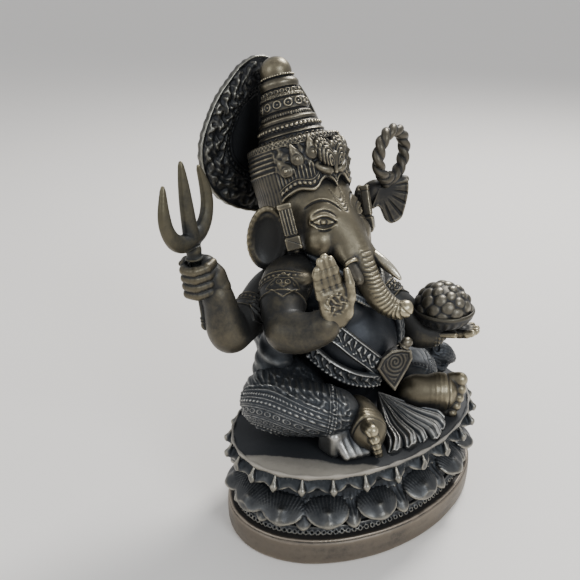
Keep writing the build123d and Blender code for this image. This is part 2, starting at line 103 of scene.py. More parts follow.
class Clay:
    """A solid worked on as a signed distance grid, in millimetres."""

    def __init__(self, lo, hi, step=0.6):
        step = step * FINE
        self.lo, self.step = vec(lo), F(step)
        self.n = tuple(int(math.ceil((h - l) / step)) + 1 for l, h in zip(lo, hi))
        self.d = np.full(self.n, 6.0, F)

    def window(self, lo, hi):
        a = [max(0, int((l - o) // self.step)) for l, o in zip(lo, self.lo)]
        b = [min(n, int((h - o) // self.step) + 2) for h, o, n in zip(hi, self.lo, self.n)]
        if any(q <= p for p, q in zip(a, b)):
            return None
        g = [self.lo[k] + self.step * np.arange(a[k], b[k], dtype=F) for k in range(3)]
        cut = tuple(slice(p, q) for p, q in zip(a, b))
        return cut, g[0][:, None, None], g[1][None, :, None], g[2][None, None, :]

    def put(self, fn, lo, hi, k=0.8, cut=False):
        pad = k + 1.6
        w = self.window([l - pad for l in lo], [h + pad for h in hi])
        if w is None:
            return self
        where, X, Y, Z = w
        v, a = fn(X, Y, Z), self.d[where]
        if cut:
            a = -a
        h = np.clip(0.5 + 0.5 * (a - v) / k, 0, 1)
        r = a + (v - a) * h - k * h * (1 - h)
        self.d[where] = -r if cut else r
        return self

    def emboss(self, fn, lo, hi):
        """Raises the surface by fn, in millimetres, inside a box."""
        w = self.window(lo, hi)
        if w is not None:
            where, X, Y, Z = w
            self.d[where] -= fn(X, Y, Z).astype(F)
        return self

    def bone(self, p, q, r1, r2=None, k=0.8, cut=False):
        r2 = r1 if r2 is None else r2
        p, q = vec(p), vec(q)
        ba = q - p
        span = float(ba @ ba) + 1e-9

        def fn(X, Y, Z):
            x, y, z = X - p[0], Y - p[1], Z - p[2]
            t = np.clip((x * ba[0] + y * ba[1] + z * ba[2]) / span, 0, 1)
            return np.sqrt((x - ba[0] * t) ** 2 + (y - ba[1] * t) ** 2
                           + (z - ba[2] * t) ** 2) - (r1 + (r2 - r1) * t)

        m = max(r1, r2)
        return self.put(fn, np.minimum(p, q) - m, np.maximum(p, q) + m, k, cut)

    def tube(self, pts, k=0.8, cut=False, n=0):
        """Rows of x, y, z, radius; n more points between them on a smooth curve."""
        pts = spline(pts, n) if n else np.array(pts, float)
        for a, b in zip(pts[:-1], pts[1:]):
            self.bone(a[:3], b[:3], float(a[3]), float(b[3]), k, cut)
        return self

    def egg(self, c, r, R=None, k=0.8, cut=False):
        c, r = vec(c), vec(r)
        R = np.eye(3, dtype=F) if R is None else R

        def fn(X, Y, Z):
            u = [t / size for t, size in zip(turned(R, c, X, Y, Z), r)]
            k0 = np.sqrt(u[0] ** 2 + u[1] ** 2 + u[2] ** 2)
            k1 = np.sqrt((u[0] / r[0]) ** 2 + (u[1] / r[1]) ** 2 + (u[2] / r[2]) ** 2)
            return k0 * (k0 - 1) / (k1 + 1e-6)

        m = np.sqrt(((R * r[:, None]) ** 2).sum(0))
        return self.put(fn, c - m, c + m, k, cut)

    def hoop(self, c, n, R, r, k=0.5, cut=False, flat=1.0):
        c, n = vec(c), unit(n).astype(F)

        def fn(X, Y, Z):
            x, y, z = X - c[0], Y - c[1], Z - c[2]
            h = x * n[0] + y * n[1] + z * n[2]
            q = np.sqrt(np.maximum(x * x + y * y + z * z - h * h, 0))
            return np.sqrt((q - R) ** 2 + (h / flat) ** 2) - r

        m = R + r * max(1, flat)
        return self.put(fn, c - m, c + m, k, cut)

    def slab(self, c, half, R=None, rnd=1.0, k=0.6, cut=False):
        c, half = vec(c), vec(half)
        R = np.eye(3, dtype=F) if R is None else R

        def fn(X, Y, Z):
            q = [np.abs(t) - (size - rnd) for t, size in zip(turned(R, c, X, Y, Z), half)]
            out = np.sqrt(sum(np.maximum(t, 0) ** 2 for t in q))
            return out + np.minimum(np.maximum(np.maximum(q[0], q[1]), q[2]), 0) - rnd

        m = np.sqrt(((R * half[:, None]) ** 2).sum(0))
        return self.put(fn, c - m, c + m, k, cut)

    def beads(self, pts, r, k=0.25):
        for p in pts:
            self.egg(p[:3], (r, r, r), k=k)
        return self

    def weigh(self):
        """Adds this solid to the coarse picture of the metal."""
        lo = np.maximum(np.ceil((self.lo - MASS_LO) / MASS_STEP).astype(int), 0)
        hi = np.minimum(((self.lo + self.step * (np.array(self.n) - 1)
                          - MASS_LO) // MASS_STEP).astype(int) + 1, MASS.shape)
        ix = [np.round((MASS_LO[k] + MASS_STEP * np.arange(lo[k], hi[k])
                        - self.lo[k]) / self.step).astype(int).clip(0, self.n[k] - 1) for k in range(3)]
        got = (self.d[np.ix_(*ix)] < 0)
        MASS[lo[0]:hi[0], lo[1]:hi[1], lo[2]:hi[2]] = np.maximum(
            MASS[lo[0]:hi[0], lo[1]:hi[1], lo[2]:hi[2]], got)

    def solid(self, name, body, slot, replaces, mat):
        self.weigh()
        grid = openvdb.FloatGrid(6.0)
        grid.copyFromArray(self.d)
        pts, quads = grid.convertToQuads(0.0)
        pts = pts * self.step + self.lo
        return make(name, pts, quads, body, replaces, mat)


# ---------------------------------------------------------------- meshes
PIECES = []
FINE_ROUNDS, BROAD_ROUNDS = 6, 30                # smoothing rounds behind "ridge" and "swell"
NOOK_REACH, DEEP_REACH = 3.5, 9                  # mm off the surface where shelter is read
SEAT_SHADE = 0.30                                # extra painted shadow on the seat, all but its front strip
SEAT_LINE = 54.0                                 # mm from the axis, towards the right front


def make(name, pts, quads, body, replaces, mat):
    """A mesh piece from points in millimetres and quads, turned outwards."""
    pts = np.asarray(pts, float)
    quads = np.asarray(quads, int)
    a, b, c, d = (pts[quads[:, i]] for i in range(4))
    normal = np.cross(c - a, d - b)
    if (normal * (a + c)).sum() < 0:
        quads = quads[:, ::-1]
    mesh = bpy.data.meshes.new(name)
    mesh.vertices.add(len(pts))
    mesh.vertices.foreach_set("co", (pts * 0.001).astype(F).ravel())
    mesh.loops.add(quads.size)
    mesh.loops.foreach_set("vertex_index", quads.astype(np.int32).ravel())
    mesh.polygons.add(len(quads))
    mesh.polygons.foreach_set("loop_start", np.arange(0, quads.size, 4, dtype=np.int32))
    mesh.update(calc_edges=True)
    mesh.polygons.foreach_set("use_smooth", np.ones(len(quads), bool))
    mesh.validate()
    obj = bpy.data.objects.new(name, mesh)
    bpy.context.scene.collection.objects.link(obj)
    mesh.materials.append(mat)
    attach(obj, body)
    if replaces:
        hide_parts(*replaces)
    PIECES.append((obj, pts, quads))
    return obj


def seat_shadow_mask(pts):
    """Painted shadow of the legs on the seat: full behind a line near the front edge and to the figure's
    left of x = -28 mm, none along the front edge on the figure's right.
    """
    toward = -(0.631 * pts[:, 0] + 0.776 * pts[:, 1])
    behind = smooth(SEAT_LINE + 3.0, SEAT_LINE - 3.0, toward + 1.5 * np.sin(pts[:, 0] / 7))
    return np.maximum(behind, smooth(-40, -28, pts[:, 0]))


def wear_and_shade(obj, pts, quads):
    """Stores how much each point stands proud, for wear, and how sheltered it is, for patina and painted
    shade.
    """
    a, b, c, d = (pts[quads[:, i]] for i in range(4))
    fn = np.cross(c - a, d - b)
    N = np.zeros_like(pts)
    for k in range(4):
        for ax in range(3):
            N[:, ax] += np.bincount(quads[:, k], fn[:, ax], len(pts))
    N /= np.linalg.norm(N, axis=1)[:, None] + 1e-9
    i = np.concatenate([quads[:, k] for k in range(4)] + [quads[:, (k + 1) % 4] for k in range(4)])
    j = np.concatenate([quads[:, (k + 1) % 4] for k in range(4)] + [quads[:, k] for k in range(4)])
    count = np.bincount(i, minlength=len(pts)) + 1e-9
    S, fine = pts.copy(), None
    for step in range(BROAD_ROUNDS):
        S = np.stack([np.bincount(i, S[j, ax], len(pts)) for ax in range(3)], 1) / count[:, None]
        if step == FINE_ROUNDS - 1:
            fine = ((pts - S) * N).sum(1)
    broad = ((pts - S) * N).sum(1)
    # painted shade: how much metal stands round each point; the near reading also stands for patina in
    # hollows, the far one is shade only
    patina_and_shade = sheltered(pts + N * NOOK_REACH, SHADE, MASS_STEP)
    painted_shade = sheltered(pts + N * DEEP_REACH, GLOOM, 2 * MASS_STEP)
    # painted shadow of the legs on the seat, away from its front strip
    if obj.name == "seat_top":
        painted_shade = painted_shade + SEAT_SHADE * seat_shadow_mask(pts)
    for key, val in (("ridge", fine), ("swell", broad), ("patina_and_shade", patina_and_shade), ("painted_shade", painted_shade)):
        at = obj.data.attributes.new(key, "FLOAT", "POINT")
        at.data.foreach_set("value", np.asarray(val, F))


def sheltered(p, field, step):
    """How much metal stands round points in space, read from a blurred picture of it."""
    g = (p - MASS_LO) / step
    f = np.clip(np.floor(g).astype(int), 0, np.array(field.shape) - 2)
    t = np.clip(g - f, 0, 1)
    out = 0
    for dx in (0, 1):
        for dy in (0, 1):
            for dz in (0, 1):
                w = (t[:, 0] if dx else 1 - t[:, 0]) * (t[:, 1] if dy else 1 - t[:, 1]) * (
                    t[:, 2] if dz else 1 - t[:, 2])
                out = out + w * field[f[:, 0] + dx, f[:, 1] + dy, f[:, 2] + dz]
    return out


def blur(field, times):
    for axis in (0, 1, 2):
        for turn in range(times):
            field = (np.roll(field, 1, axis) + 2 * field + np.roll(field, -1, axis)) / 4
    return field


# ---------------------------------------------------------------- materials
GRAIN = 0.00012                                  # metres of bump in the cast surface
MOTTLE = 0.16                                    # how blotchy the patina is


def brass(name, dark, mid, bright, lift=0.0, rough=(0.50, 0.30), metal=(0.55, 1.0),
          ridge=1.0, swell=0.22, patina_and_shade=1.1, painted_shade=1.1):
    """Cast brass: patina and painted shade in the hollows and sheltered places, olive metal between, worn
    metal on the high places.
    """
    mat = bpy.data.materials.new(name)
    mat.use_nodes = True
    nt = mat.node_tree
    nodes, link = nt.nodes, nt.links.new
    shader = nodes["Principled BSDF"]

    def node(kind, **props):
        n = nodes.new("ShaderNode" + kind)
        for key, val in props.items():
            setattr(n, key, val)
        return n

    def math_(op, a, b=None, c=None, clamp=False):
        n = node("Math", operation=op, use_clamp=clamp)
        for s, v in zip(n.inputs, (a, b, c)):
            if v is None:
                continue
            if isinstance(v, (int, float)):
                s.default_value = v
            else:
                link(v, s)
        return n.outputs[0]

    def attr(key):
        return node("Attribute", attribute_name=key).outputs["Fac"]

    def noise(scale, detail, rough_=0.55):
        n = node("TexNoise")
        n.inputs["Scale"].default_value = scale
        n.inputs["Detail"].default_value = detail
        n.inputs["Roughness"].default_value = rough_
        link(coord, n.inputs["Vector"])
        return n.outputs["Fac"]

    coord = node("TexCoord").outputs["Object"]
    blotch, speck, fine = noise(55, 4), noise(330, 5, 0.65), noise(1500, 3, 0.7)
    w = math_("MULTIPLY_ADD", attr("ridge"), ridge, 0.44 + lift)
    w = math_("MULTIPLY_ADD", attr("swell"), swell, w)
    # darker where sheltered: patina with painted shade near the surface, painted shade further out
    w = math_("MULTIPLY_ADD", attr("patina_and_shade"), -patina_and_shade, w)
    w = math_("MULTIPLY_ADD", attr("painted_shade"), -painted_shade, w)
    w = math_("MULTIPLY_ADD", math_("SUBTRACT", blotch, 0.5), MOTTLE * 2.4, w)
    w = math_("MULTIPLY_ADD", math_("SUBTRACT", speck, 0.5), MOTTLE * 2.0, w, clamp=True)

    def ramp(fac, stops):
        n = node("ValToRGB")
        r = n.color_ramp
        r.interpolation = "EASE"
        while len(r.elements) < len(stops):
            r.elements.new(0.5)
        for e, (p, c) in zip(r.elements, stops):
            e.position, e.color = p, (*c, 1) if len(c) == 3 else c
        link(fac, n.inputs["Fac"])
        return n.outputs["Color"]

    def grey(v):
        return v, v, v

    link(ramp(w, [(0.12, dark), (0.45, mid), (0.88, bright)]), shader.inputs["Base Color"])
    link(ramp(w, [(0.15, grey(rough[0])), (0.9, grey(rough[1]))]), shader.inputs["Roughness"])
    link(ramp(w, [(0.10, grey(metal[0])), (0.55, grey(metal[1]))]), shader.inputs["Metallic"])
    shader.inputs["Specular IOR Level"].default_value = 0.45
    b = node("Bump")
    b.inputs["Strength"].default_value = 0.55
    b.inputs["Distance"].default_value = GRAIN
    link(math_("MULTIPLY_ADD", speck, 1.6, fine), b.inputs["Height"])
    link(b.outputs["Normal"], shader.inputs["Normal"])
    return mat


DARK, MID, BRIGHT = (0.022, 0.023, 0.025), (0.105, 0.095, 0.074), (0.44, 0.39, 0.28)
SKIN = brass("skin_metal", (0.030, 0.029, 0.027), (0.150, 0.131, 0.092), (0.50, 0.44, 0.30), 0.16,
             rough=(0.46, 0.28), ridge=0.9, patina_and_shade=0.9, painted_shade=0.5)
IVORY = brass("tusk_metal", (0.05, 0.05, 0.05), (0.30, 0.27, 0.20), (0.62, 0.58, 0.47), 0.35,
              rough=(0.4, 0.22))
CLOTH = brass("cloth_metal", (0.032, 0.036, 0.041), (0.105, 0.107, 0.107), (0.42, 0.42, 0.40), 0.07,
              ridge=1.15, painted_shade=0.8)
LOTUS = brass("lotus_metal", (0.026, 0.029, 0.033), (0.080, 0.082, 0.083), (0.29, 0.275, 0.235), 0.02,
              ridge=0.65, swell=0.22, patina_and_shade=0.8, painted_shade=0.5)
JEWEL = brass("ornament_metal", DARK, MID, BRIGHT, 0.10, rough=(0.44, 0.26), ridge=1.0, patina_and_shade=0.9,
              painted_shade=0.5)
HALO = brass("halo_metal", (0.014, 0.015, 0.017), (0.070, 0.068, 0.061), (0.30, 0.29, 0.25), 0.02,
             ridge=0.8, patina_and_shade=0.9, painted_shade=0.75)
HOLD = brass("attribute_metal", DARK, (0.11, 0.100, 0.080), (0.50, 0.46, 0.37), 0.10, ridge=1.0, painted_shade=0.6)
ROPE = brass("rope_metal", (0.024, 0.024, 0.024), (0.105, 0.094, 0.074), (0.34, 0.31, 0.24), -0.02,
             ridge=0.8, painted_shade=0.7)
FORK = brass("trident_metal", (0.022, 0.023, 0.022), (0.105, 0.094, 0.064), (0.30, 0.265, 0.18), 0.02,
             ridge=0.5, swell=0.12)
PLAIN = brass("plinth_metal", (0.05, 0.046, 0.043), (0.19, 0.162, 0.130), (0.30, 0.258, 0.21), 0.16,
              rough=(0.5, 0.40), swell=0.1)
# the seat takes strong painted shade where the figure shelters it
SEAT = brass("seat_metal", (0.020, 0.022, 0.025), (0.235, 0.218, 0.188), (0.36, 0.33, 0.28), 0.86,
             rough=(0.62, 0.50), metal=(0.10, 0.20), ridge=0.4, swell=0.1, patina_and_shade=1.5, painted_shade=2.4)
ARM = brass("arm_metal", (0.026, 0.026, 0.025), (0.115, 0.100, 0.070), (0.46, 0.40, 0.27), -0.06,
            rough=(0.46, 0.27), ridge=1.0, patina_and_shade=1.0, painted_shade=0.6)
PETAL = brass("petal_metal", (0.024, 0.028, 0.032), (0.074, 0.077, 0.079), (0.28, 0.265, 0.225), -0.07,
              ridge=0.75, swell=0.22, patina_and_shade=0.8, painted_shade=0.5)
BOWL = brass("bowl_metal", DARK, (0.085, 0.078, 0.062), (0.40, 0.36, 0.28), -0.12, ridge=0.9, painted_shade=0.7)
FOLD = brass("fold_metal", (0.034, 0.038, 0.044), (0.150, 0.152, 0.150), (0.46, 0.45, 0.42), 0.30,
             ridge=0.9, patina_and_shade=1.1, painted_shade=0.3)
BELLY = brass("belly_metal", (0.020, 0.023, 0.028), (0.062, 0.066, 0.070), (0.34, 0.32, 0.26), -0.02,
              rough=(0.42, 0.30), painted_shade=0.7)

# ---------------------------------------------------------------- base
INNER = (56.0, 31.0)


def oval(X, Y, A, B):
    """Distance outside an upright oval wall, near enough."""
    u, v = X / A, Y / B
    k0, k1 = np.sqrt(u * u + v * v), np.sqrt((u / A) ** 2 + (v / B) ** 2)
    return k0 * (k0 - 1) / (k1 + 1e-6)


def oval_point(a, A, B, out=0.0):
    """Point on an oval at a parameter angle, and its outward direction."""
    n = unit((math.cos(a) / A, math.sin(a) / B))
    return (A * math.cos(a) + n[0] * out, B * math.sin(a) + n[1] * out), n


def band(A, B, z0, z1, profile, step=0.7, ripple=0.25, hollow=True):
    """Oval slab whose outer wall follows (height, offset) pairs."""
    clay = Clay((-A - 6, -B - 6, z0 - 3), (A + 6, B + 6, z1 + 3), step)
    zs, off = zip(*profile)

    def fn(X, Y, Z):
        s = oval(X, Y, A, B)
        ang = np.arctan2(Y / B, X / A)
        wob = ripple * (np.sin(7 * ang + 1) + np.sin(12 * ang + Z * 0.21) + 0.6 * np.sin(23 * ang + 2))
        wall = s - np.interp(Z, zs, off).astype(F) - 0.5 * wob
        v = np.maximum(wall, np.maximum(z0 - Z, Z - z1))
        return np.maximum(v, -oval(X, Y, *INNER)) if hollow else v

    return clay.put(fn, (-A - 6, -B - 6, z0 - 3), (A + 6, B + 6, z1 + 3), k=0.5)


def around(A, B, count, first=0.0, out=0.0):
    """Stations round an oval: place, outward direction, angle."""
    for k in range(count):
        a = math.radians(first + 360.0 * k / count)
        (x, y), n = oval_point(a, A, B, out)
        yield x, y, n, a


def leaf(clay, x, y, n, z, half, drop, length, thick, vein, tip):
    """A lotus petal whose tip is at x, y, z, sloping up and back to its root."""
    slope = unit((n[0], n[1], -drop))
    across = np.array((-n[1], n[0], 0.0))
    up = np.cross(slope, across)
    up = up if up[2] > 0 else -up
    petal_tip = np.array((x, y, z))
    mid = petal_tip - slope * length * 0.56
    R = np.stack([across, slope, up]).astype(F)
    clay.egg(mid, (half, length * 0.62, thick), R, k=1.8)
    clay.bone(mid + slope * length * 0.15, petal_tip - slope * tip, thick * 0.95, tip * 0.95,
              k=half * 0.35)
    clay.bone(petal_tip - slope * tip * 3.0 + up * tip * 0.2, petal_tip + up * tip * 0.4, tip * 1.7,
              tip * 0.45, k=0.8)
    m = vec(mid)

    def groove(X, Y, Z):
        u, v, w = turned(R, m, X, Y, Z)
        u, v = u / half, v / length
        fan = u / (0.55 + 0.5 * (0.55 - v))
        lines = np.cos(fan * math.pi * vein)
        inside = smooth(1.25, 0.9, np.abs(u) + 0.5 * np.abs(v)) * smooth(0.44, 0.28, v)
        return (0.34 * lines * inside * smooth(0.25, -0.1, v) * smooth(-thick * 0.6, 0, w)
                * (w < thick * 2.5))

    r = half + 3
    clay.emboss(groove, mid - r, mid + r)


clay = band(94, 66, 0, 18, [(0, -1.5), (1.0, -0.5), (3, -0.3), (9, 0.1), (15, -0.1), (16.2, -0.5),
                            (16.6, -1.4), (17.1, -0.7), (18, -0.9)], step=0.75, ripple=0.16)
clay.solid("plinth_band", "figure", "base_brass", ["plinth"], PLAIN)

clay = band(89, 61, 17.5, 24, [(17.5, 0), (19, -0.8), (24, -1)], ripple=0.1)
for x, y, n, a in around(89, 61, 132):
    clay.hoop((x, y, 20.6), (n[0], n[1], 0.5), 1.25, 0.62, k=0.2)
clay.solid("plinth_beads", "figure", "base_brass", ["bead_row"], LOTUS)

clay = band(88, 60, 23, 38.5, [(23, -1.5), (26, -3), (30, -3), (34, -5), (38.5, -8)])
for x, y, n, a in around(94, 66, 16, -100.1, out=-2.2):
    leaf(clay, x, y, n, 25.0, 5.4, 0.8, 12, 2.6, 3, 1.3)
for x, y, n, a in around(94, 66, 16, -88.9, out=0.2):
    leaf(clay, x, y, n, 29.0, 13.4, 0.62, 17, 2.5, 12, 2.1)
clay.solid("lotus_lower", "figure", "base_brass", ["lower_lotus"], LOTUS)

clay = band(82, 55, 37, 47, [(37, -1), (40, -4), (42.5, -5), (45, -4), (47, -2)])
clay.emboss(lambda X, Y, Z: 0.35 * np.cos(np.arctan2(Y / 55, X / 82) * 96) + 0 * Z, (-90, -60, 37),
            (90, 60, 47))
clay.solid("lotus_waist", "figure", "base_brass", ["waist_ring"], LOTUS)

BEAKS = 27
clay = band(87, 59, 45.5, 59, [(45.5, -7), (50, -2.5), (54, 0.0), (59, 1.0)])
clay.emboss(lambda X, Y, Z: 0.3 * np.cos(np.arctan2(Y / 59, X / 87) * 150) * smooth(53, 51, Z),
            (-92, -64, 45), (92, 64, 54))
for x, y, n, a in around(94, 66, BEAKS, -92.3, out=-2.6):
    leaf(clay, x, y, n, 51.5, 9.4, 0.75, 12, 2.2, 5, 1.0)
    top = np.array((x - n[0] * 0.8, y - n[1] * 0.8, 60.0))
    low = np.array((x + n[0] * 2.2, y + n[1] * 2.2, 53.4))
    clay.bone(top, low, 0.7, 2.0, k=2.4)
    clay.bone(low + (0, 0, 0.4), low + (n[0] * 0.8, n[1] * 0.8, -2.2), 2.3, 0.7, k=0.8)
clay.solid("lotus_upper", "figure", "base_brass", ["upper_lotus"], PETAL)


def scallop(X, Y, Z):
    """The seat's edge comes forward a little over each petal's ridge."""
    a = np.arctan2(Y / 66, X / 94) - math.radians(-92.3)
    return 0.9 * np.abs(np.cos(a * BEAKS / 2)) ** 3 - 0.5 + 0 * Z


clay = band(90.5, 62.5, 58, 62.2, [(58, -2.0), (60, -0.4), (61.8, 0.2), (62.2, -0.3)], step=0.5,
            ripple=0.15, hollow=False)
clay.emboss(scallop, (-97, -69, 57), (97, 69, 63))
clay.put(lambda X, Y, Z: np.maximum(oval(X, Y, 88.6, 60.6), 61.4 + 0.2 * (X / 90) ** 2 - Z),
         (-94, -66, 59), (94, 66, 64), k=0.4, cut=True)
clay.solid("seat_top", "figure", "base_brass", ["seat_plate"], SEAT)


# ---------------------------------------------------------------- ornament patterns
def frame_of(c, axis, x=(1, 0, 0)):
    """Function giving cylindrical coordinates round an axis: height, angle, radius."""
    R, c = axes(axis, x), vec(c)

    def fn(X, Y, Z):
        u, v, w = turned(R, c, X, Y, Z)
        return w, np.arctan2(v, u), np.sqrt(u * u + v * v)

    return fn


def rings(u, v, pitch, r, w):
    """Small circles with a dot in each, along u."""
    du = (u / pitch - np.round(u / pitch)) * pitch
    q = np.sqrt(du * du + v * v)
    return bump(q - r, w) + bump(q, w)


def dots(u, v, pitch, r):
    du = (u / pitch - np.round(u / pitch)) * pitch
    return np.sqrt(np.clip(1 - (du * du + v * v) / (r * r), 0, 1))


def bands(u, v, rows):
    """Rows of ornament: (height, kind, size, raise). u runs along the rows."""
    h = 0
    for at, kind, size, lift in rows:
        if kind == "line":
            h = h + lift * bump(v - at, size)
        elif kind == "rings":
            h = h + lift * rings(u, v - at, size * 3.1, size, size * 0.45)
        elif kind == "dots":
            h = h + lift * dots(u, v - at, size * 2.2, size)
        elif kind == "teeth":
            k = np.abs((u / size - np.round(u / size)) * 2)
            h = h + lift * smooth(0.2, -0.2, np.abs(v - at) - size * 0.75 * (1 - k))
    return h


def scroll(X, Y, scale):
    """Interlaced leaf scroll in a plane, about -1 to 1."""
    a = (np.sin(X / scale + 1.7 * np.sin(Y / scale * 0.8))
         * np.cos(Y / scale + 1.3 * np.sin(X / scale * 1.1)))
    b = np.sin(2.1 * (X + Y) / scale + 2.0 * np.cos(Y / scale * 1.3)) * 0.6
    return np.clip(1.6 * a + b, -1, 1)


# ---------------------------------------------------------------- head
def along(pts):
    """Function giving distance run along a line of points, and distance from it."""
    pts = np.array(pts, float)[:, :3]
    runs = np.concatenate([[0], np.cumsum(np.linalg.norm(np.diff(pts, axis=0), axis=1))])

    def fn(X, Y, Z):
        best = run = None
        for p, q, r0, r1 in zip(pts[:-1], pts[1:], runs[:-1], runs[1:]):
            p, ba = vec(p), vec(q - p)
            x, y, z = X - p[0], Y - p[1], Z - p[2]
            t = np.clip((x * ba[0] + y * ba[1] + z * ba[2]) / float(ba @ ba), 0, 1)
            d = (x - ba[0] * t) ** 2 + (y - ba[1] * t) ** 2 + (z - ba[2] * t) ** 2
            s = r0 + (r1 - r0) * t
            if best is None:
                best, run = d, s
            else:
                run = np.where(d < best, s, run)
                best = np.minimum(d, best)
        return run.astype(F), np.sqrt(best)

    return fn


def eye(clay, side):
    """Almond eye with lids, iris and engraved brow lines; side is -1 or 1."""
    n = unit((side * (0.52 if side < 0 else 0.80), -0.84 if side < 0 else -0.58, 0.12))
    u_ax = unit(np.cross((0, 0, 1), n)) * (-side)     # towards the trunk
    v_ax = np.cross(n, u_ax)
    v_ax = v_ax if v_ax[2] > 0 else -v_ax
    c = np.array((-16, 17.0, 189.5) if side < 0 else (18.5, 22.0, 189.0))

    def local(X, Y, Z):
        x, y, z = X - c[0], Y - c[1], Z - c[2]
        return tuple(x * ax[0] + y * ax[1] + z * ax[2] for ax in (u_ax, v_ax, n))

    def shape(X, Y, Z):
        u, v, w = local(X, Y, Z)
        lid = np.clip(1 - (u / 7.2) ** 2, 0, 1)
        up, low = v - 2.6 * lid, v + 2.3 * lid
        wide = smooth(8.4, 7.0, np.abs(u))
        q = np.sqrt(u * u + v * v)
        inside = smooth(0.2, -0.5, up) * smooth(-0.2, 0.5, low)
        h = 0.35 * bump(v, 7) * smooth(9, 5, np.abs(u))
        h = (h - wide * (0.85 * bump(up, 0.95) + 0.8 * bump(low, 0.9))
             + inside * (0.5 * bump(q, 1.2) - 0.6 * bump(q - 2.0, 0.75)))
        h = h + 0.35 * wide * (bump(up - 1.6, 1.0) + bump(low + 1.5, 0.9))
        for drop, reach in ((3.4, 6.0), (5.2, 4.6)):
            h = h - 0.65 * bump(v + drop - 0.055 * u * u, 0.8) * smooth(reach, reach - 2, np.abs(u - 0.5))
        for rise, sag, reach, depth in ((6.6, 0.055, 8.0, 0.7), (12.0, 0.042, 11.8, 0.8)):
            h = h - depth * bump(v - rise + sag * u * u, 0.9) * smooth(reach, reach - 2, np.abs(u - 0.6))
            h = (h + 0.2 * bump(v - rise - 1.5 + sag * u * u, 1.0)
                 * smooth(reach, reach - 3, np.abs(u - 0.6)))
        return h * smooth(12, 8, np.abs(w))

    clay.emboss(shape, c - 18, c + 18)


TRUNK = [(0, 30, 192, 11), (0, 17, 182, 9.6), (0, 4.5, 168.5, 8.2), (0, -5.6, 156.5, 6.5),
         (0.6, -12, 149, 5.7), (3, -17, 143.6, 5.1), (7, -22.5, 139.6, 4.1), (10, -26.6, 139.4, 3.1),
         (12.2, -28.2, 141.2, 2.4)]
clay = Clay((-38, -42, 124), (38, 82, 226), 0.5)
clay.egg((0, 52, 192), (29, 29, 28), k=1)
clay.egg((0, 44, 185), (26.5, 30, 26), k=4)
clay.bone((0, 40, 172), (0, 50, 158), 18, 20, k=8)           # throat
line = spline(TRUNK, 6)
clay.tube(line, k=3.5)
for s in (-1, 1):
    clay.egg((s * 14, 22, 176), (11.5, 11, 11), k=5)         # cheek
    clay.egg((s * 13.5, 23.5, 190) if s < 0 else (13.5, 26.5, 190), (9, 5.8, 8), k=4)        # eye mound
    # ridge to the trunk
    clay.bone((s * 7, 18.5, 187) if s < 0 else (6, 20.5, 187), (s * 6.5, 7, 171), 6.6, 6.0, k=4)
    clay.bone((s * 8, 7, 171), (s * 9.4, 1.5, 168), 5.6, 4.4, k=3)
    clay.tube([(s * 3, 7, 160, 2.8), (s * 8, 8, 158, 3.2), (s * 12, 13, 160.5, 3.0),
               (s * 15, 21, 165, 4)], k=1.2)
    eye(clay, s)
clay.hoop((-9.8, -1.5, 166.8), (-0.1, -0.8, -0.55), 3.7, 1.3, k=1.2)
clay.egg((0, 8, 156), (6, 5.5, 3.6), k=1.5)
clay.egg((12.7, -28.4, 142.2), (1.9, 1.9, 2.2), k=1.4)       # tip of the trunk
run = along(line)


def wrinkles(X, Y, Z):
    s, d = run(X, Y, Z)
    mid = np.interp(s, [0, 50, 60, 68, 76, 84], [0, 0, 0.6, 3, 7, 12]).astype(F)
    side = (X - mid) / 6
    front = smooth(4.5, -1, Y - np.interp(s, [0, 15, 35, 50, 60, 68, 76, 82],
                                          [29, 17, 4.5, -5.6, -12, -17, -22.5, -27]).astype(F))
    s = s + 2.0 * side * side
    turn = np.interp(s, [34, 52, 76, 90], [0, 5.8, 15.4, 22]).astype(F)
    wave = np.abs(np.sin(turn * math.pi)) ** 0.6 - 0.62
    half = np.interp(s, [34, 44, 52, 84], [4.2, 5.4, 7.5, 7.5]).astype(F)
    return (0.8 * wave * smooth(33, 38, s) * smooth(90, 87, s) * front
            * smooth(half, half * 0.75, np.abs(X - mid)))


clay.emboss(wrinkles, (-20, -42, 126), (24, 24, 186))


def chevrons(X, Y, Z):
    """Nested curves between the brows."""
    q = Z - 194.4 - 0.33 * X * X
    w = -bump(np.mod(q + 1.05, 2.1) - 1.05, 0.62)
    return (0.6 * w * smooth(4.6, 3.8, np.abs(X)) * smooth(-0.9, -0.5, q) * smooth(7.4, 6.9, q)
            * smooth(40, 34, Y))


clay.emboss(chevrons, (-9, 6, 186), (9, 34, 214))
clay.solid("elephant_head", "figure", "skin_brass", ["head", "trunk"], SKIN)

TUSKS = {"right": [(-9.6, 2, 168.5, 3.5), (-10.4, -4, 163.8, 3.5), (-11.0, -8, 160.6, 3.3),
                   (-11.4, -10.4, 158.8, 2.7)],
         "left": [(9.6, 2, 168.5, 3.4), (11.4, -6, 165, 3.2), (13.6, -13, 160.6, 2.6),
                  (15.4, -18.8, 156.2, 1.1)]}
for side, pts in TUSKS.items():
    low, high = np.min(pts, 0)[:3] - 5, np.max(pts, 0)[:3] + 5
    clay = Clay(low, high, 0.4)
    clay.tube(pts, n=5, k=1)
    clay.solid(side + "_ivory", "figure", "skin_brass", [side + "_tusk"],
               IVORY if side == "left" else ROPE)

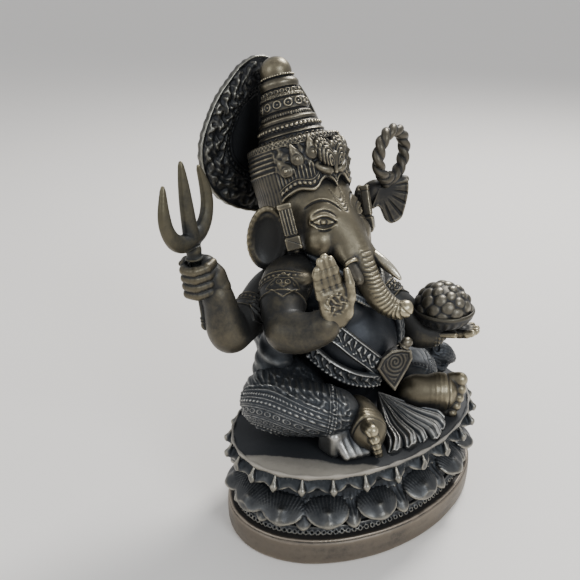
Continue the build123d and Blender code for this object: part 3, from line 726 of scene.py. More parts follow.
# ---------------------------------------------------------------- ears and pendants
for s, side in ((-1, "right"), (1, "left")):
    n = unit((s * 0.62, -0.78, 0.05))
    R = axes(n, (0, 0, 1))                       # x up, z out of the ear's face
    c = np.array((s * 38.5, 43, 178.0))
    clay = Clay(c - (18, 18, 26), c + (18, 18, 26), 0.5)
    clay.egg(c, (19.5, 12.5, 3.6), R, k=1)
    clay.egg(c - R[0] * 11 - R[1] * 2 * s, (9, 8, 3.2), R, k=4)
    clay.egg(c + R[2] * 4.5, (16, 9.8, 5.0), R, k=1.5, cut=True)
    pts = []
    for k in range(25):
        a = math.radians(-150 + 300 * k / 24)
        p = (c + R[0] * 18.2 * math.cos(a) + R[1] * 11.4 * math.sin(a) * (1 - 0.12 * math.cos(a))
             + R[2] * 1.2)
        pts.append((*p, 1.5))
    clay.tube(pts, k=1.2)
    clay.bone(c - R[0] * 19, c - R[0] * 22, 2.6, 2.2, k=1)
    clay.solid(side + "_ear_flap", "figure", "skin_brass", [side + "_ear"], ARM)

    top, low = np.array((s * 33.5, 33, 199.0)), np.array((s * 32, 26, 178.0))
    d = unit(low - top)
    R = np.stack([unit(np.cross(d, n)), unit(np.cross(np.cross(d, n), d)), d]).astype(F)
    clay = Clay(np.minimum(top, low) - 8, np.maximum(top, low) + 8, 0.4)
    clay.slab((top + low) / 2, (3.8, 2.6, 11.5), R, rnd=1.2)
    clay.slab(low + d * 0.5, (4.8, 3.4, 4.2), R, rnd=1.0, k=0.8)
    clay.slab(top - d * 0.2, (4.4, 3.0, 1.6), R, rnd=0.9, k=0.8)
    clay.egg(low + d * 5.0, (2.6, 2.4, 2.2), k=0.8)
    mid = vec((top + low) / 2)

    def ribs(X, Y, Z, R=R, mid=mid):
        u, across, h = turned(R, mid, X, Y, Z)
        v = 0.4 * np.cos(u * 2 * math.pi / 1.9) * smooth(6.3, 5.8, h) * smooth(-9.4, -8.8, h)
        return (v - 0.55 * bump(h - 7.0, 0.6) - 0.45 * bump(u + (h - 10.5) * 1.6, 0.6)
                * smooth(7.2, 7.8, h))

    clay.emboss(ribs, mid - 16, mid + 16)
    clay.solid(side + "_pendant", "figure", "ornament_brass", [side + "_lappet"], JEWEL)

# ---------------------------------------------------------------- crown
CROWN_ROOT, CROWN_UP = np.array((0, 58, 208.0)), unit((0, 0.375, 0.927))
# angle 0 is the front, + is the figure's left
crown = frame_of(CROWN_ROOT, CROWN_UP, (0, -1, 0))


def on_crown(phi, h, r):
    a = math.radians(phi)
    R = axes(CROWN_UP, (0, -1, 0))
    return CROWN_ROOT + R[0] * r * math.cos(a) + R[1] * r * math.sin(a) + CROWN_UP * h


TIER_BULGE = 0.8                                 # mm, how far a tier swells at half height


def tier(name, node, r0, r1, h0, h1, rows):
    mid, m = CROWN_ROOT + CROWN_UP * (h0 + h1) / 2, max(r0, r1) + (h1 - h0) / 2 + 4
    clay = Clay(mid - m, mid + m, 0.45)

    def fn(X, Y, Z):
        h, a, r = crown(X, Y, Z)
        t = np.clip((h - h0) / (h1 - h0), 0, 1)
        edge = r - (r0 + (r1 - r0) * t + TIER_BULGE * 4 * t * (1 - t))
        return np.maximum(edge, np.maximum(h0 - h, h - h1))

    clay.put(fn, mid - m, mid + m, k=1.2)

    def pattern(X, Y, Z):
        h, a, r = crown(X, Y, Z)
        return bands(a * (r0 + r1) / 2, h, rows) * smooth(min(r0, r1) * 0.6, min(r0, r1) * 0.75, r)

    clay.emboss(pattern, mid - m, mid + m)
    clay.solid(name, "figure", "ornament_brass", [node], JEWEL)


RIM_MID = 3.0                                    # the band is turned a little to the figure's left
RIM = spline([(0, -13.4), (3, -9.6), (11, -6.6), (18, -7.8), (25, -11.4), (32, -12.6), (46, -10.8),
              (60, -13), (74, -16.5), (90, -17), (180, -17)], 6)


def rim_height(deg):
    """Lower edge of the crown: a point over the trunk and an arch over each eye."""
    return np.interp(np.abs(deg - RIM_MID), RIM[:, 0], RIM[:, 1]).astype(F)


def diadem(clay):
    def border(X, Y, Z):
        h, a, r = crown(X, Y, Z)
        deg = np.degrees(a) - RIM_MID
        front = smooth(72, 66, np.abs(deg))
        v, u = h - rim_height(deg + RIM_MID), np.radians(deg) * 31
        lines = (0.9 * bump(v - 1.3, 1.6) - 0.5 * bump(v - 3.1, 0.5) + 1.0 * dots(u, v - 4.9, 3.0, 1.35)
                 + 0.8 * bump(v - 7.0, 0.7))
        flute = (0.5 * np.cos(u * 2 * math.pi / 2.3) * smooth(7.6, 8.4, v) * smooth(5, 3, h)
                 * smooth(13, 17, np.abs(deg)))
        leafy = 0.7 * scroll(u, h, 2.2) * smooth(1, 3, h) * smooth(18, 16, h)
        ribs = (0.5 * np.cos((h - 10) * 2 * math.pi / 2.9) * smooth(4, 5, h) * smooth(16.4, 15.6, h)
                + 0.15 * np.cos(u * 2 * math.pi / 2.6) * smooth(4, 3, h) + 0.8 * bump(h - 3.8, 0.8))
        side = (smooth(66, 70, np.abs(deg)) * smooth(150, 140, np.abs(deg)) * ribs
                + 0.5 * bump(np.abs(deg) - 66, 1.8) * (h > 3))
        top = 0.7 * bump(h - 17.6, 0.7) + 0.9 * rings(u, h - 19.6, 3.0, 1.15, 0.6)
        return ((front * (lines + flute + leafy) + side + top * smooth(150, 140, np.abs(deg)))
                * smooth(22, 26, r))

    m = CROWN_ROOT + CROWN_UP * 8
    clay.emboss(border, m - 40, m + 40)
    for side in (-1, 1):
        for phi, h, lean in ((23.3, 10.2, 0.0), (41, 8.0, 0.25), (55.5, 2.6, 0.55)):
            p = on_crown(RIM_MID + side * phi, h, 31.4)
            n = unit(p - CROWN_ROOT - CROWN_UP * np.dot(p - CROWN_ROOT, CROWN_UP))
            tip = unit(CROWN_UP + unit(np.cross(CROWN_UP, n)) * side * lean)
            lobe = axes(n, tip)
            clay.egg(p, (4.6, 4.4, 2.6), lobe, k=0.5)
            clay.egg(p + tip * 3.6, (4.6, 3.0, 2.3), lobe, k=1.0)
            clay.bone(p + tip * 6, p + tip * 9.4, 1.9, 0.8, k=0.8)
            clay.hoop(p + n * 2.4, n, 2.9, 0.55, k=0.3, cut=True)
            clay.egg(p + n * 2.5, (1.1, 1.1, 0.9), lobe, k=0.3)
        curl = [on_crown(RIM_MID + side * a, h, r)
                for a, h, r in ((3, -3.4, 31.5), (9, -2.6, 32), (16, -1.0, 32), (21, 1.6, 31.6),
                                (19, 3.6, 31.4))]
        clay.tube([(*p, r) for p, r in zip(curl, (1.2, 2.5, 2.2, 1.4, 1.0))], n=4, k=0.8)
        clay.bone(curl[1] - CROWN_UP * 1.5, curl[2] - CROWN_UP * 2.2, 1.5, 0.9, k=0.8)


def crown_clay():
    """The wide lower band of the crown, cut to follow the brow."""
    m = CROWN_ROOT + CROWN_UP * 8
    clay = Clay(m - (38, 42, 30), m + (38, 42, 30), 0.45)

    def fn(X, Y, Z):
        h, a, r = crown(X, Y, Z)
        deg = np.degrees(a)
        low = rim_height(deg)
        t = np.clip((h + 8) / 30, 0, 1)
        wall = r - (30.8 + 1.2 * np.sin(t * math.pi) - 1.6 * t * t)
        dome = h - 19.5 - 4.5 * np.sqrt(np.clip(1 - (r / 33) ** 2, 0, 1))
        return np.maximum(np.maximum(wall, dome), low - h)

    clay.put(fn, m - 42, m + 42, k=1.5)
    diadem(clay)
    clay.solid("crown_diadem", "figure", "ornament_brass", ["crown_band"], JEWEL)


crown_clay()
clay = Clay((-18, 12, 208), (22, 46, 246), 0.4)
for side in (-1, 1):
    top, low = on_crown(RIM_MID + side * 14.5, 16.5, 31.5), on_crown(RIM_MID + side * 5.5, 1.0, 33.0)
    mid = (top + low) / 2
    n = unit(mid - CROWN_ROOT - CROWN_UP * np.dot(mid - CROWN_ROOT, CROWN_UP))
    R = axes(unit(n + CROWN_UP * 0.15), low - top)
    clay.egg(mid, (10.2, 6.2, 4.6), R, k=1)
    boss_at = vec(mid)

    def fronds(X, Y, Z, R=R, boss_at=boss_at):
        """Curved leaves nested towards the lower end of the boss."""
        a, b, out = turned(R, boss_at, X, Y, Z)
        q = np.sqrt(((a - 7.5) / 13) ** 2 + (b / 6.4) ** 2)
        return ((-0.75 * bump(np.mod(q * 4.2, 1) - 0.5, 0.34) + 0.3 * np.cos(b * 3.2)
                 * smooth(0, -4, a)) * smooth(1.25, 1.1, (a / 10.4) ** 2 + (b / 6.4) ** 2))

    clay.emboss(fronds, mid - 13, mid + 13)
c = on_crown(RIM_MID, 12, 33)
clay.bone(on_crown(RIM_MID, -4, 32.5), on_crown(RIM_MID, 6, 34.5), 1.6, 2.2, k=1)
clay.egg(c, (2.6, 2.6, 3.0), k=0.8)
clay.solid("crown_boss", "figure", "ornament_brass", ["crown_medallion"], JEWEL)

tier("crown_tier_a", "crown_lower_tier", 21.8, 17.6, 20, 36.5,
     [(22.3, "rings", 1.4, 1.2), (25.5, "line", 1.2, 0.9), (27.6, "line", 0.7, -0.9),
      (30, "dots", 1.3, 1.3), (32.6, "line", 0.7, -1.2), (35, "line", 1.5, 0.9)])
tier("crown_tier_b", "crown_middle_tier", 15.6, 13.4, 35.5, 51.5,
     [(37.8, "line", 1.7, 1.4), (37.8, "teeth", 1.5, -0.7), (40.2, "line", 0.8, -1.2),
      (44.6, "rings", 2.2, 1.0), (48.4, "line", 0.8, -1.0), (50, "rings", 0.8, 0.7)])
tier("crown_tier_c", "crown_upper_tier", 12.4, 10.4, 50.8, 63.5,
     [(52.6, "rings", 1.1, 0.9), (54.6, "line", 0.8, -1.3), (58.4, "line", 3.0, 0.9),
      (61.6, "line", 0.8, -1.4), (63, "dots", 0.8, 0.8)])
clay = Clay((-14, 70, 256), (14, 102, 286), 0.45)
clay.egg(CROWN_ROOT + CROWN_UP * 66.6, (10.2, 10.2, 9.9), axes(CROWN_UP), k=1)
clay.egg(CROWN_ROOT + CROWN_UP * 63.2, (9.9, 9.9, 2.0), axes(CROWN_UP), k=0.6)
clay.solid("crown_knob", "figure", "ornament_brass", ["crown_finial"], SKIN)

# ---------------------------------------------------------------- halo
HALO_CENTRE, HALO_FACE = np.array((0, 98.0, 231.0)), unit((0, -1, 0.09))
halo = frame_of(HALO_CENTRE, HALO_FACE, (0, 0, 1))
HALO_EDGE = ((-14, 44), (0, 48.5), (14, 44), (27, 33), (42.3, 14), (51.5, -9.8), (45.5, -33.5),
             (20, -51.2), (0, -55), (-20, -51.2))
edge_line = spline([(math.degrees(math.atan2(x, y)) % 360 - (360 if k == 0 else 0), math.hypot(x, y))
                    for k, (x, y) in enumerate(HALO_EDGE)], 8)


def leaf_radius(X, Y, Z):
    """Height, angle, and radius scaled so that the leaf outline is at 50."""
    h, a, r = halo(X, Y, Z)
    return h, a, r * 50 / np.interp(np.degrees(np.abs(a)), edge_line[:, 0], edge_line[:, 1]).astype(F)


clay = Clay((-56, 84, 173), (56, 106, 286), 0.6)


def halo_shape(X, Y, Z):
    h, a, r = leaf_radius(X, Y, Z)
    front = 0.6 + 2.6 * smooth(25, 33, r) - 1.4 * smooth(42, 49, r)
    back = -2.6 - 0.8 * (1 - (r / 50) ** 2)
    return np.maximum((r - 49.6 + 0.3 * np.cos(a * 44)) * 0.95, np.maximum(h - front, back - h))


clay.put(halo_shape, (-56, 84, 173), (56, 106, 286), k=1.6)


def halo_relief(X, Y, Z):
    h, a, r = leaf_radius(X, Y, Z)
    face = smooth(-1.5, 0, h)
    u = a * 38
    petals = np.cos(a * 19 + 1.1 * np.sin((r - 28) / 2.4)) * np.cos((r - 38) / 2.5)
    curl = (1.0 * np.clip(petals + 0.6 * scroll(u, r, 1.7), -1, 1) * smooth(30.5, 32, r)
            * smooth(48, 46.5, r))
    beads = 0.9 * dots(a * 28.5, r - 28.5, 3.1, 1.3) + 0.6 * bump(r - 25.8, 0.9) + 0.5 * bump(r - 31, 0.7)
    edge = 0.8 * bump(r - 49, 1.1)
    back = smooth(-1.5, -3, h) * (0.25 * np.cos(r * 1.1) * smooth(46, 40, r) + 0.5 * bump(r - 45, 1.2))
    return face * (curl + beads + edge) + back


clay.emboss(halo_relief, (-56, 84, 173), (56, 106, 286))
clay.slab((0, 90, 232), (7, 5, 30), rnd=3, k=3)
clay.solid("halo", "figure", "ornament_brass", ["halo_disc", "halo_rim"], HALO)

# ---------------------------------------------------------------- body
clay = Clay((-44, -30, 60), (44, 62, 176), 0.6)
clay.egg((0, 12, 109), (34, 33.5, 33), k=1)                       # belly
clay.bone((0, 20, 124), (0, 32, 147), 29, 24, k=8)                # chest
clay.bone((-24, 27, 152), (24, 27, 152), 14, 14, k=8)             # shoulders
clay.bone((0, 40, 160), (0, 44, 170), 17, 16, k=6)                # neck
clay.egg((-13, -1, 139), (11, 9, 8), k=6)                         # breasts
clay.egg((13, -1, 139), (11, 9, 8), k=6)
clay.egg((0, 22, 78), (38, 28, 18), k=8)                          # hips
clay.egg((1, -21.5, 104), (2.2, 3, 2.4), k=1.5, cut=True)         # navel
neck_line = [(-24, 20, 163), (-20, 3, 156), (-10, -8, 148), (0, -11.5, 143), (10, -8, 148),
             (20, 3, 156), (24, 20, 163)]
necklace = spline(neck_line, 8)
clay.tube(np.hstack([necklace, np.full((len(necklace), 1), 1.5)]), k=0.5)
clay.beads(np.array(spline(neck_line, 7)) + (0, -1.2, -2.6), 1.6)
collar = spline([(-22, 22, 168), (-17, 8, 163), (-8, 0, 158), (0, -2, 156), (8, 0, 158), (17, 8, 163),
                 (22, 22, 168)], 6)
clay.tube(np.hstack([collar, np.full((len(collar), 1), 2.2)]), k=0.8)
clay.solid("torso_body", "figure", "skin_brass", ["torso", "hips"], BELLY)


def ribbon(clay, pts, width, thick):
    """A flat strap along rows of x, y, z, nx, ny, nz, its face turned to n."""
    pts = spline(pts, 8)
    for a, b in zip(pts[:-1], pts[1:]):
        d = unit(b[:3] - a[:3])
        nn = unit((a[3:6] + b[3:6]) / 2)
        side = unit(np.cross(nn, d))
        R = np.stack([side, d, np.cross(side, d)]).astype(F)
        clay.slab((a[:3] + b[:3]) / 2, (width / 2, np.linalg.norm(b[:3] - a[:3]) / 2 + 0.9, thick / 2), R,
                  rnd=min(thick / 2, 0.8), k=0.8)
    return pts


def strap_pattern(clay, pts, fn, width):
    """Ornament along a strap: fn(run, across) in millimetres."""
    run = along(pts)
    p0 = pts[:, :3].min(0) - width, pts[:, :3].max(0) + width
    runs = np.concatenate([[0], np.cumsum(np.linalg.norm(np.diff(pts[:, :3], axis=0), axis=1))])

    def shape(X, Y, Z):
        s, d = run(X, Y, Z)
        c = [np.interp(s, runs, pts[:, i]).astype(F) for i in range(6)]
        D = np.gradient(pts[:, :3], axis=0)
        t = [np.interp(s, runs, D[:, i]).astype(F) for i in range(3)]
        m = np.sqrt(t[0] ** 2 + t[1] ** 2 + t[2] ** 2) + 1e-6
        side = ((c[4] * t[2] - c[5] * t[1]) / m,
                (c[5] * t[0] - c[3] * t[2]) / m,
                (c[3] * t[1] - c[4] * t[0]) / m)
        v = (X - c[0]) * side[0] + (Y - c[1]) * side[1] + (Z - c[2]) * side[2]
        return (fn(s, v) * smooth(width / 2 + 0.5, width / 2 - 0.6, np.abs(v))
                * smooth(5, 3.5, d * 0 + np.sqrt(np.maximum(d * d - v * v, 0))))

    clay.emboss(shape, *p0)


# the thread over the right shoulder and the jewelled sash round the belly
clay = Clay((-44, -34, 76), (42, 30, 150), 0.5)
thread = [(-33, 8, 134, -0.7, -0.6, 0.3), (-27, -9, 128, -0.6, -0.8, 0.2),
          (-18.5, -17, 118.5, -0.4, -0.9, 0.1), (-9, -21, 109, -0.2, -1, 0),
          (-2, -22.4, 101.5, 0.0, -1, -0.05)]
pts = ribbon(clay, thread, 12, 2.6)
strap_pattern(clay, pts, lambda s, v: 0.8 * scroll(s, v * 1.1, 1.35) * (np.abs(v) < 3.6)
              + 0.9 * bump(np.abs(v) - 4.9, 0.9), 11)
lower = [(-37, 2, 115, -0.9, -0.4, 0), (-32.5, -9, 108, -0.8, -0.6, -0.1),
         (-24, -17.5, 101.5, -0.5, -0.8, -0.2), (-12, -21.3, 96.5, -0.3, -0.9, -0.3),
         (-2, -22.5, 94.5, 0, -1, -0.3)]
pts = ribbon(clay, lower, 10, 2.6)
strap_pattern(clay, pts, lambda s,
              v: 0.75 * scroll(s, v, 1.5) * (v > -2.6) * (v < 3.8) + 0.7 * bump(v - 4.3, 0.8)
              + 1.2 * dots(s, v + 3.9, 2.9, 1.35), 10)
# cloth beside the belly
clay.tube([(28, 2, 130, 7), (29, -1, 116, 7.5), (28, -2, 102, 7.5)], k=2, n=3)
shawl_edge = [(24.5, -8, 131, 0.35, -0.93, 0), (26.5, -10.5, 121, 0.35, -0.93, 0),
              (27, -11.5, 110, 0.35, -0.93, 0), (25.5, -11.5, 99, 0.35, -0.93, 0)]
pts = ribbon(clay, shawl_edge, 8, 3.0)
strap_pattern(clay, pts, lambda s, v: 0.6 * np.cos(v * 2 * math.pi / 2.5) + 0.15 * np.sin(s * 1.3 + v), 8)
clay.solid("belly_straps", "figure", "cloth_brass", ["sacred_thread", "waist_sash"], CLOTH)

# the leaf-shaped knot with its round stud
KNOT_FACE = unit((-0.35, -0.9, 0.25))
knot_up = unit(np.array((0, 0, 1.0)) - KNOT_FACE * KNOT_FACE[2])
KNOT = np.stack([knot_up, np.cross(KNOT_FACE, knot_up), KNOT_FACE]).astype(F)
knot_at = vec((4.5, -28.5, 103))
LEAF = [(-14, 1.9), (-7.6, 6.9), (1.2, 12.4), (7, 8.6), (10.6, 2.5), (10.9, -4.3), (9.4, -10.4),
        (4, -11), (-1.3, -8), (-7.7, -3.2)]


def knot_frame(X, Y, Z):
    """Height and width on the leaf, distance in front of it, and distance outside its outline."""
    u, v, w = turned(KNOT, knot_at, X, Y, Z)
    out = None
    for (a0, b0), (a1, b1) in zip(LEAF, LEAF[1:] + LEAF[:1]):
        m = math.hypot(a1 - a0, b1 - b0)
        d = ((u - a0) * (b1 - b0) - (v - b0) * (a1 - a0)) / m
        out = -d if out is None else np.maximum(out, -d)
    return u, v, w, out


def knot_shape(X, Y, Z):
    u, v, w, out = knot_frame(X, Y, Z)
    return np.maximum(out - 0.4, np.abs(w - 0.006 * (u * u + v * v)) - 1.7)


def knot_lines(X, Y, Z):
    """A raised edge and a spiral inside it."""
    u, v, w, out = knot_frame(X, Y, Z)
    q, a = np.hypot(u - 3.5, v), np.arctan2(v, u - 3.5)
    spiral = -0.7 * bump(np.mod(q - a * 2.4 / (2 * math.pi), 2.4) - 1.2, 0.65) * smooth(-2.6, -3.4, out)
    return (0.5 * bump(out + 0.8, 0.8) - 0.6 * bump(out + 2.2, 0.6) + spiral) * smooth(-0.5, 0.5, w)


clay = Clay((-14, -42, 84), (24, -12, 124), 0.42)
clay.put(knot_shape, (-14, -42, 84), (24, -14, 120), k=0.4)
clay.emboss(knot_lines, (-14, -42, 84), (24, -14, 120))
clay.tube([(10, -25, 113, 2.0), (3, -23.5, 110, 1.9), (-4, -22, 104, 1.8)], k=0.8, n=4)
clay.egg((13.2, -29.5, 117.6), (4.0, 3.4, 3.4), k=0.8)
clay.hoop((11.4, -28.6, 115.4), (0.5, -0.2, 0.9), 2.7, 1.0, k=0.4)
clay.solid("sash_leaf", "figure", "ornament_brass", ["sash_knot"], ROPE)

# cape behind the shoulders, falling to the seat
clay = Clay((-68, 6, 60), (52, 70, 168), 0.75)
clay.bone((-27, 40, 146), (27, 40, 146), 17, 17, k=6)
clay.bone((-34, 42, 120), (34, 42, 120), 17, 17, k=8)
clay.bone((-31, 42, 80), (31, 42, 80), 18, 18, k=8)
clay.egg((0, 40, 112), (46, 21, 56), k=8)
for s in (-1, 1):
    clay.tube([(s * 36, 37, 150, 10), (s * 37.5, 38, 128, 9), (s * 40, 36, 108, 8.5), (s * 41, 34, 88, 8),
               (s * 40, 32, 70, 9)], k=5, n=4)
# fall of cloth behind the knee
clay.tube([(-38, 26, 136, 7), (-46, 22, 124, 8), (-54, 18, 110, 9), (-56, 20, 98, 9)], k=5, n=4)
clay.slab((0, 40, 52), (70, 50, 12), k=1.5, cut=True, rnd=1)


def folds(X, Y, Z):
    fan = np.arctan2(X, Z + 60) * 62
    fold = np.abs(np.sin(fan * 0.5 + 0.5 * np.sin(Z / 11))) - 0.5
    return (1.5 * fold * smooth(156, 120, Z) * smooth(38, 46, Y)
            + 0.5 * np.sin((Z - 0.25 * np.abs(X) - Y * 0.5) * 0.7) * smooth(44, 36, Y)
            * smooth(20, 32, np.abs(X)) + 0.8 * bump(Z - 66 - 0.02 * X * X, 1.5) * smooth(38, 46, Y))


clay.emboss(folds, (-66, 8, 60), (52, 70, 160))
clay.solid("cape", "figure", "cloth_brass", ["shawl"], CLOTH)

# ---------------------------------------------------------------- arms and hands
def finger(clay, pts, k=0.5, nail=None):
    """A finger with soft knuckles; the last point may carry a nail facing a direction."""
    pts = np.array(pts, float)
    clay.tube(spline(pts, 5), k=k)
    for p in pts[1:-1]:
        clay.egg(p[:3], (p[3] * 1.1,) * 3, k=0.8)
    if nail is not None:
        tip, n = pts[-1], unit(nail)
        d = unit(pts[-1][:3] - pts[-2][:3])
        R = np.stack([np.cross(n, d), d, n]).astype(F)
        clay.egg(tip[:3] + n * tip[3] * 0.75 - d * 0.4, (tip[3] * 0.75, tip[3] * 0.95, tip[3] * 0.4), R,
                 k=0.25)


def bangle(clay, c, n, girth, r, rows=2, gap=1.9):
    n = unit(n)
    for k in range(rows):
        clay.hoop(np.array(c) + n * (k - (rows - 1) / 2) * gap, n, girth, r, k=0.4)


def armlet(clay, c, axis, out, girth, half):
    """Ornament on an upper arm: beaded rings and a diamond of circles facing out."""
    loc = frame_of(c, axis, out)

    def shape(X, Y, Z):
        h, a, r = loc(X, Y, Z)
        u = a * girth
        ringed = (bump(np.abs(h) - half, 1.0) + dots(u, h + half - 2.6, 2.6, 1.2)
                  + 0.8 * bump(h + half - 4.8, 0.6))
        q = np.abs(u) / 10 + np.abs(h - half * 0.5) / 8
        gem = (0.9 * bump((q - 1) * 8, 0.9) + rings(u + 2.3, h - 1.0, 4.6, 1.4, 0.7) * (q < 0.8)
               + 0.8 * bump((q - 0.16) * 8, 1.3))
        return (0.9 * (ringed + gem * smooth(14, 11, np.abs(u))) * smooth(girth * 0.4, girth * 0.6, r)
                * smooth(girth * 1.7, girth * 1.5, r))

    c = np.array(c)
    clay.emboss(shape, c - girth * 1.8, c + girth * 1.8)


# raised right arm in front, with the open hand
clay = Clay((-76, -32, 118), (-22, 44, 174), 0.5)
clay.tube([(-30, 27, 155, 13.5), (-41, 23, 153.5, 13.6), (-51, 13, 146, 12.2), (-58, 2, 138.8, 10.8),
           (-60, -2, 137, 10.4)], n=5, k=3)
clay.tube([(-60, -2, 137, 10.2), (-56, -10, 138, 9.6), (-50, -17, 141, 8.0), (-46.5, -21, 145, 7.0)],
          n=5, k=4)
armlet(clay, (-47, 17, 149.5), (-18, -21, -13), (-0.6, -0.7, 0.35), 12.8, 6.5)
clay.egg((-38, 13, 160), (9, 8, 5), k=3)
bangle(clay, (-48.6, -18.3, 142.6), (4, -6, 6), 7.6, 1.5, rows=3, gap=2.3)
clay.solid("right_arm_front", "figure", "skin_brass",
           ["right_front_arm", "right_front_forearm", "right_front_armlet", "right_front_bracelet"], ARM)

PALM_FACE = unit((-0.35, -0.92, 0.10))                  # way the open palm faces
PALM_UP = unit(np.array((-0.16, 0.22, 0.96)) - PALM_FACE * np.dot((-0.16, 0.22, 0.96), PALM_FACE))
PALM_SIDE = np.cross(PALM_FACE, PALM_UP)
PALM_SIDE = PALM_SIDE if PALM_SIDE[0] > 0 else -PALM_SIDE                    # towards the thumb
palm = np.array((-43.5, -24, 157.0))
clay = Clay((-62, -40, 140), (-28, -6, 192), 0.4)
PALM_AXES = np.stack([PALM_SIDE, PALM_UP, PALM_FACE]).astype(F)


def at_palm(u, v, w, r):
    return (*(palm + PALM_SIDE * u + PALM_UP * v + PALM_FACE * w), r)


clay.slab(palm + PALM_UP * 1, (8.6, 10.0, 3.4), PALM_AXES, rnd=3.2, k=1)
clay.egg(palm - PALM_UP * 8.5 - PALM_FACE * 0.4, (7.0, 6.5, 4.4), PALM_AXES, k=3)
clay.egg(palm + PALM_SIDE * 5.4 - PALM_UP * 4 + PALM_FACE * 1.2, (4.6, 7, 4), PALM_AXES, k=2)
clay.egg(palm - PALM_SIDE * 5.6 - PALM_UP * 2 + PALM_FACE * 1.0, (3.4, 7, 3.4), PALM_AXES, k=2)
for u, reach, wide in ((5.0, 26.5, 2.75), (1.2, 28.8, 2.85), (-2.7, 27.4, 2.75), (-6.3, 23.4, 2.5)):
    finger(clay, [at_palm(u, 7, -0.2, 3.0), at_palm(u * 0.97, 14, -0.3, wide),
                  at_palm(u * 0.88, 20, -0.1, wide), at_palm(u * 0.74, reach, 0.6, wide * 0.8)],
           nail=-PALM_FACE)
finger(clay, [at_palm(5.4, -5, 0.5, 3.9), at_palm(9.4, 2, 1.2, 3.2), at_palm(10.8, 9.5, 1.3, 2.8),
              at_palm(11.4, 17.0, 0.6, 1.9)], nail=-PALM_FACE)
flower_at = vec(palm + PALM_UP * 2)


def palm_mark(X, Y, Z):
    """A round flower engraved in the palm, and the finger creases."""
    u, v, w = turned(PALM_AXES, flower_at, X, Y, Z)
    q, a = np.sqrt(u * u + v * v), np.arctan2(v, u)
    flower = 0.6 * bump(q, 1.5) + 0.5 * bump(q - 3.4, 1.5) * np.cos(6 * a) + 0.4 * bump(q - 5.6, 0.7)
    crease = 0
    for at in (9.8, 15.6, 20.8):
        crease = crease - 0.22 * bump(v - at, 0.6) * (np.abs(u) < 8.8)
    rough = 0.35 * scroll(u * 1.3, v * 1.3, 1.5) * smooth(8.5, 5, q)
    return (0.55 * flower * smooth(7.4, 6.8, q) + rough + crease) * smooth(-0.5, 1.5, w)


clay.emboss(palm_mark, palm - 30, palm + 30)
clay.solid("open_hand", "figure", "skin_brass", ["blessing_hand"], SKIN)

# right arm behind, holding the trident
clay = Clay((-100, 2, 112), (-28, 56, 168), 0.5)
clay.tube([(-33, 38, 147, 13), (-45, 37, 143, 12.2), (-63, 30, 136.5, 10.6), (-78, 24.5, 132.6, 9.7),
           (-82.5, 23.5, 133, 9.5)], n=5, k=3)
clay.tube([(-82.5, 23.5, 133, 9.4), (-84.6, 24, 138.5, 9.1), (-86, 25, 147, 8.0), (-87.3, 26, 155, 6.9),
           (-88.5, 27, 160, 6.6)], n=5, k=4)
armlet(clay, (-62, 30.5, 137), (-26, -11, -6.5), (-0.1, -0.9, 0.4), 10.6, 5.0)
bangle(clay, (-86.9, 25.4, 151), (-4, 5, 28), 7.6, 1.5, rows=2, gap=2.4)
clay.solid("right_arm_rear", "figure", "skin_brass",
           ["right_rear_arm", "right_rear_forearm", "right_rear_armlet", "right_rear_bracelet"], ARM)

GRIP, SHAFT = np.array((-96.5, 32, 168.0)), unit((-0.1218693, 0, 0.9925462))
GRIP_ACROSS = unit(np.array((1, 0, 0)) - SHAFT * SHAFT[0])
GRIP_BACK = np.cross(SHAFT, GRIP_ACROSS)


def at_grip(x, y, z, r=None):
    p = GRIP + GRIP_ACROSS * x + GRIP_BACK * y + SHAFT * (z + 1.8)
    return p if r is None else (*p, r)


clay = Clay((-112, 14, 148), (-76, 46, 184), 0.4)
# back of the hand
clay.tube([at_grip(9.4, -6, -8, 6.6), at_grip(8, -3, -2, 7.4), at_grip(6.5, 1, 4, 6.6)], k=2)
clay.slab(GRIP + GRIP_ACROSS * 3.5 + GRIP_BACK * 1.5 + SHAFT * 1.5, (7.0, 5.0, 9.6),
          np.stack([GRIP_ACROSS, GRIP_BACK, SHAFT]), rnd=4, k=3)
for k in range(4):
    z = 7.4 - k * 4.9
    finger(clay, [at_grip(8, -5.0, z + 0.4, 2.6), at_grip(2.0, -7.6, z, 2.75),
                  at_grip(-5.4, -6.2, z - 0.3, 2.6), at_grip(-7.6, 0.4, z - 0.4, 2.5),
                  at_grip(-3.8, 5.4, z - 0.4, 2.3)], k=0.35)
finger(clay, [at_grip(8.6, 1.5, 6, 3.2), at_grip(5.5, 6.4, 7.6, 2.9), at_grip(-1.2, 7.8, 8.4, 2.5),
              at_grip(-5.0, 4.8, 8.6, 2.1)], k=0.6, nail=GRIP_BACK)
clay.bone(GRIP - SHAFT * 30, GRIP + SHAFT * 30, 2.9, k=0.3, cut=True)
clay.solid("gripping_hand", "figure", "skin_brass", ["trident_hand"], ARM)

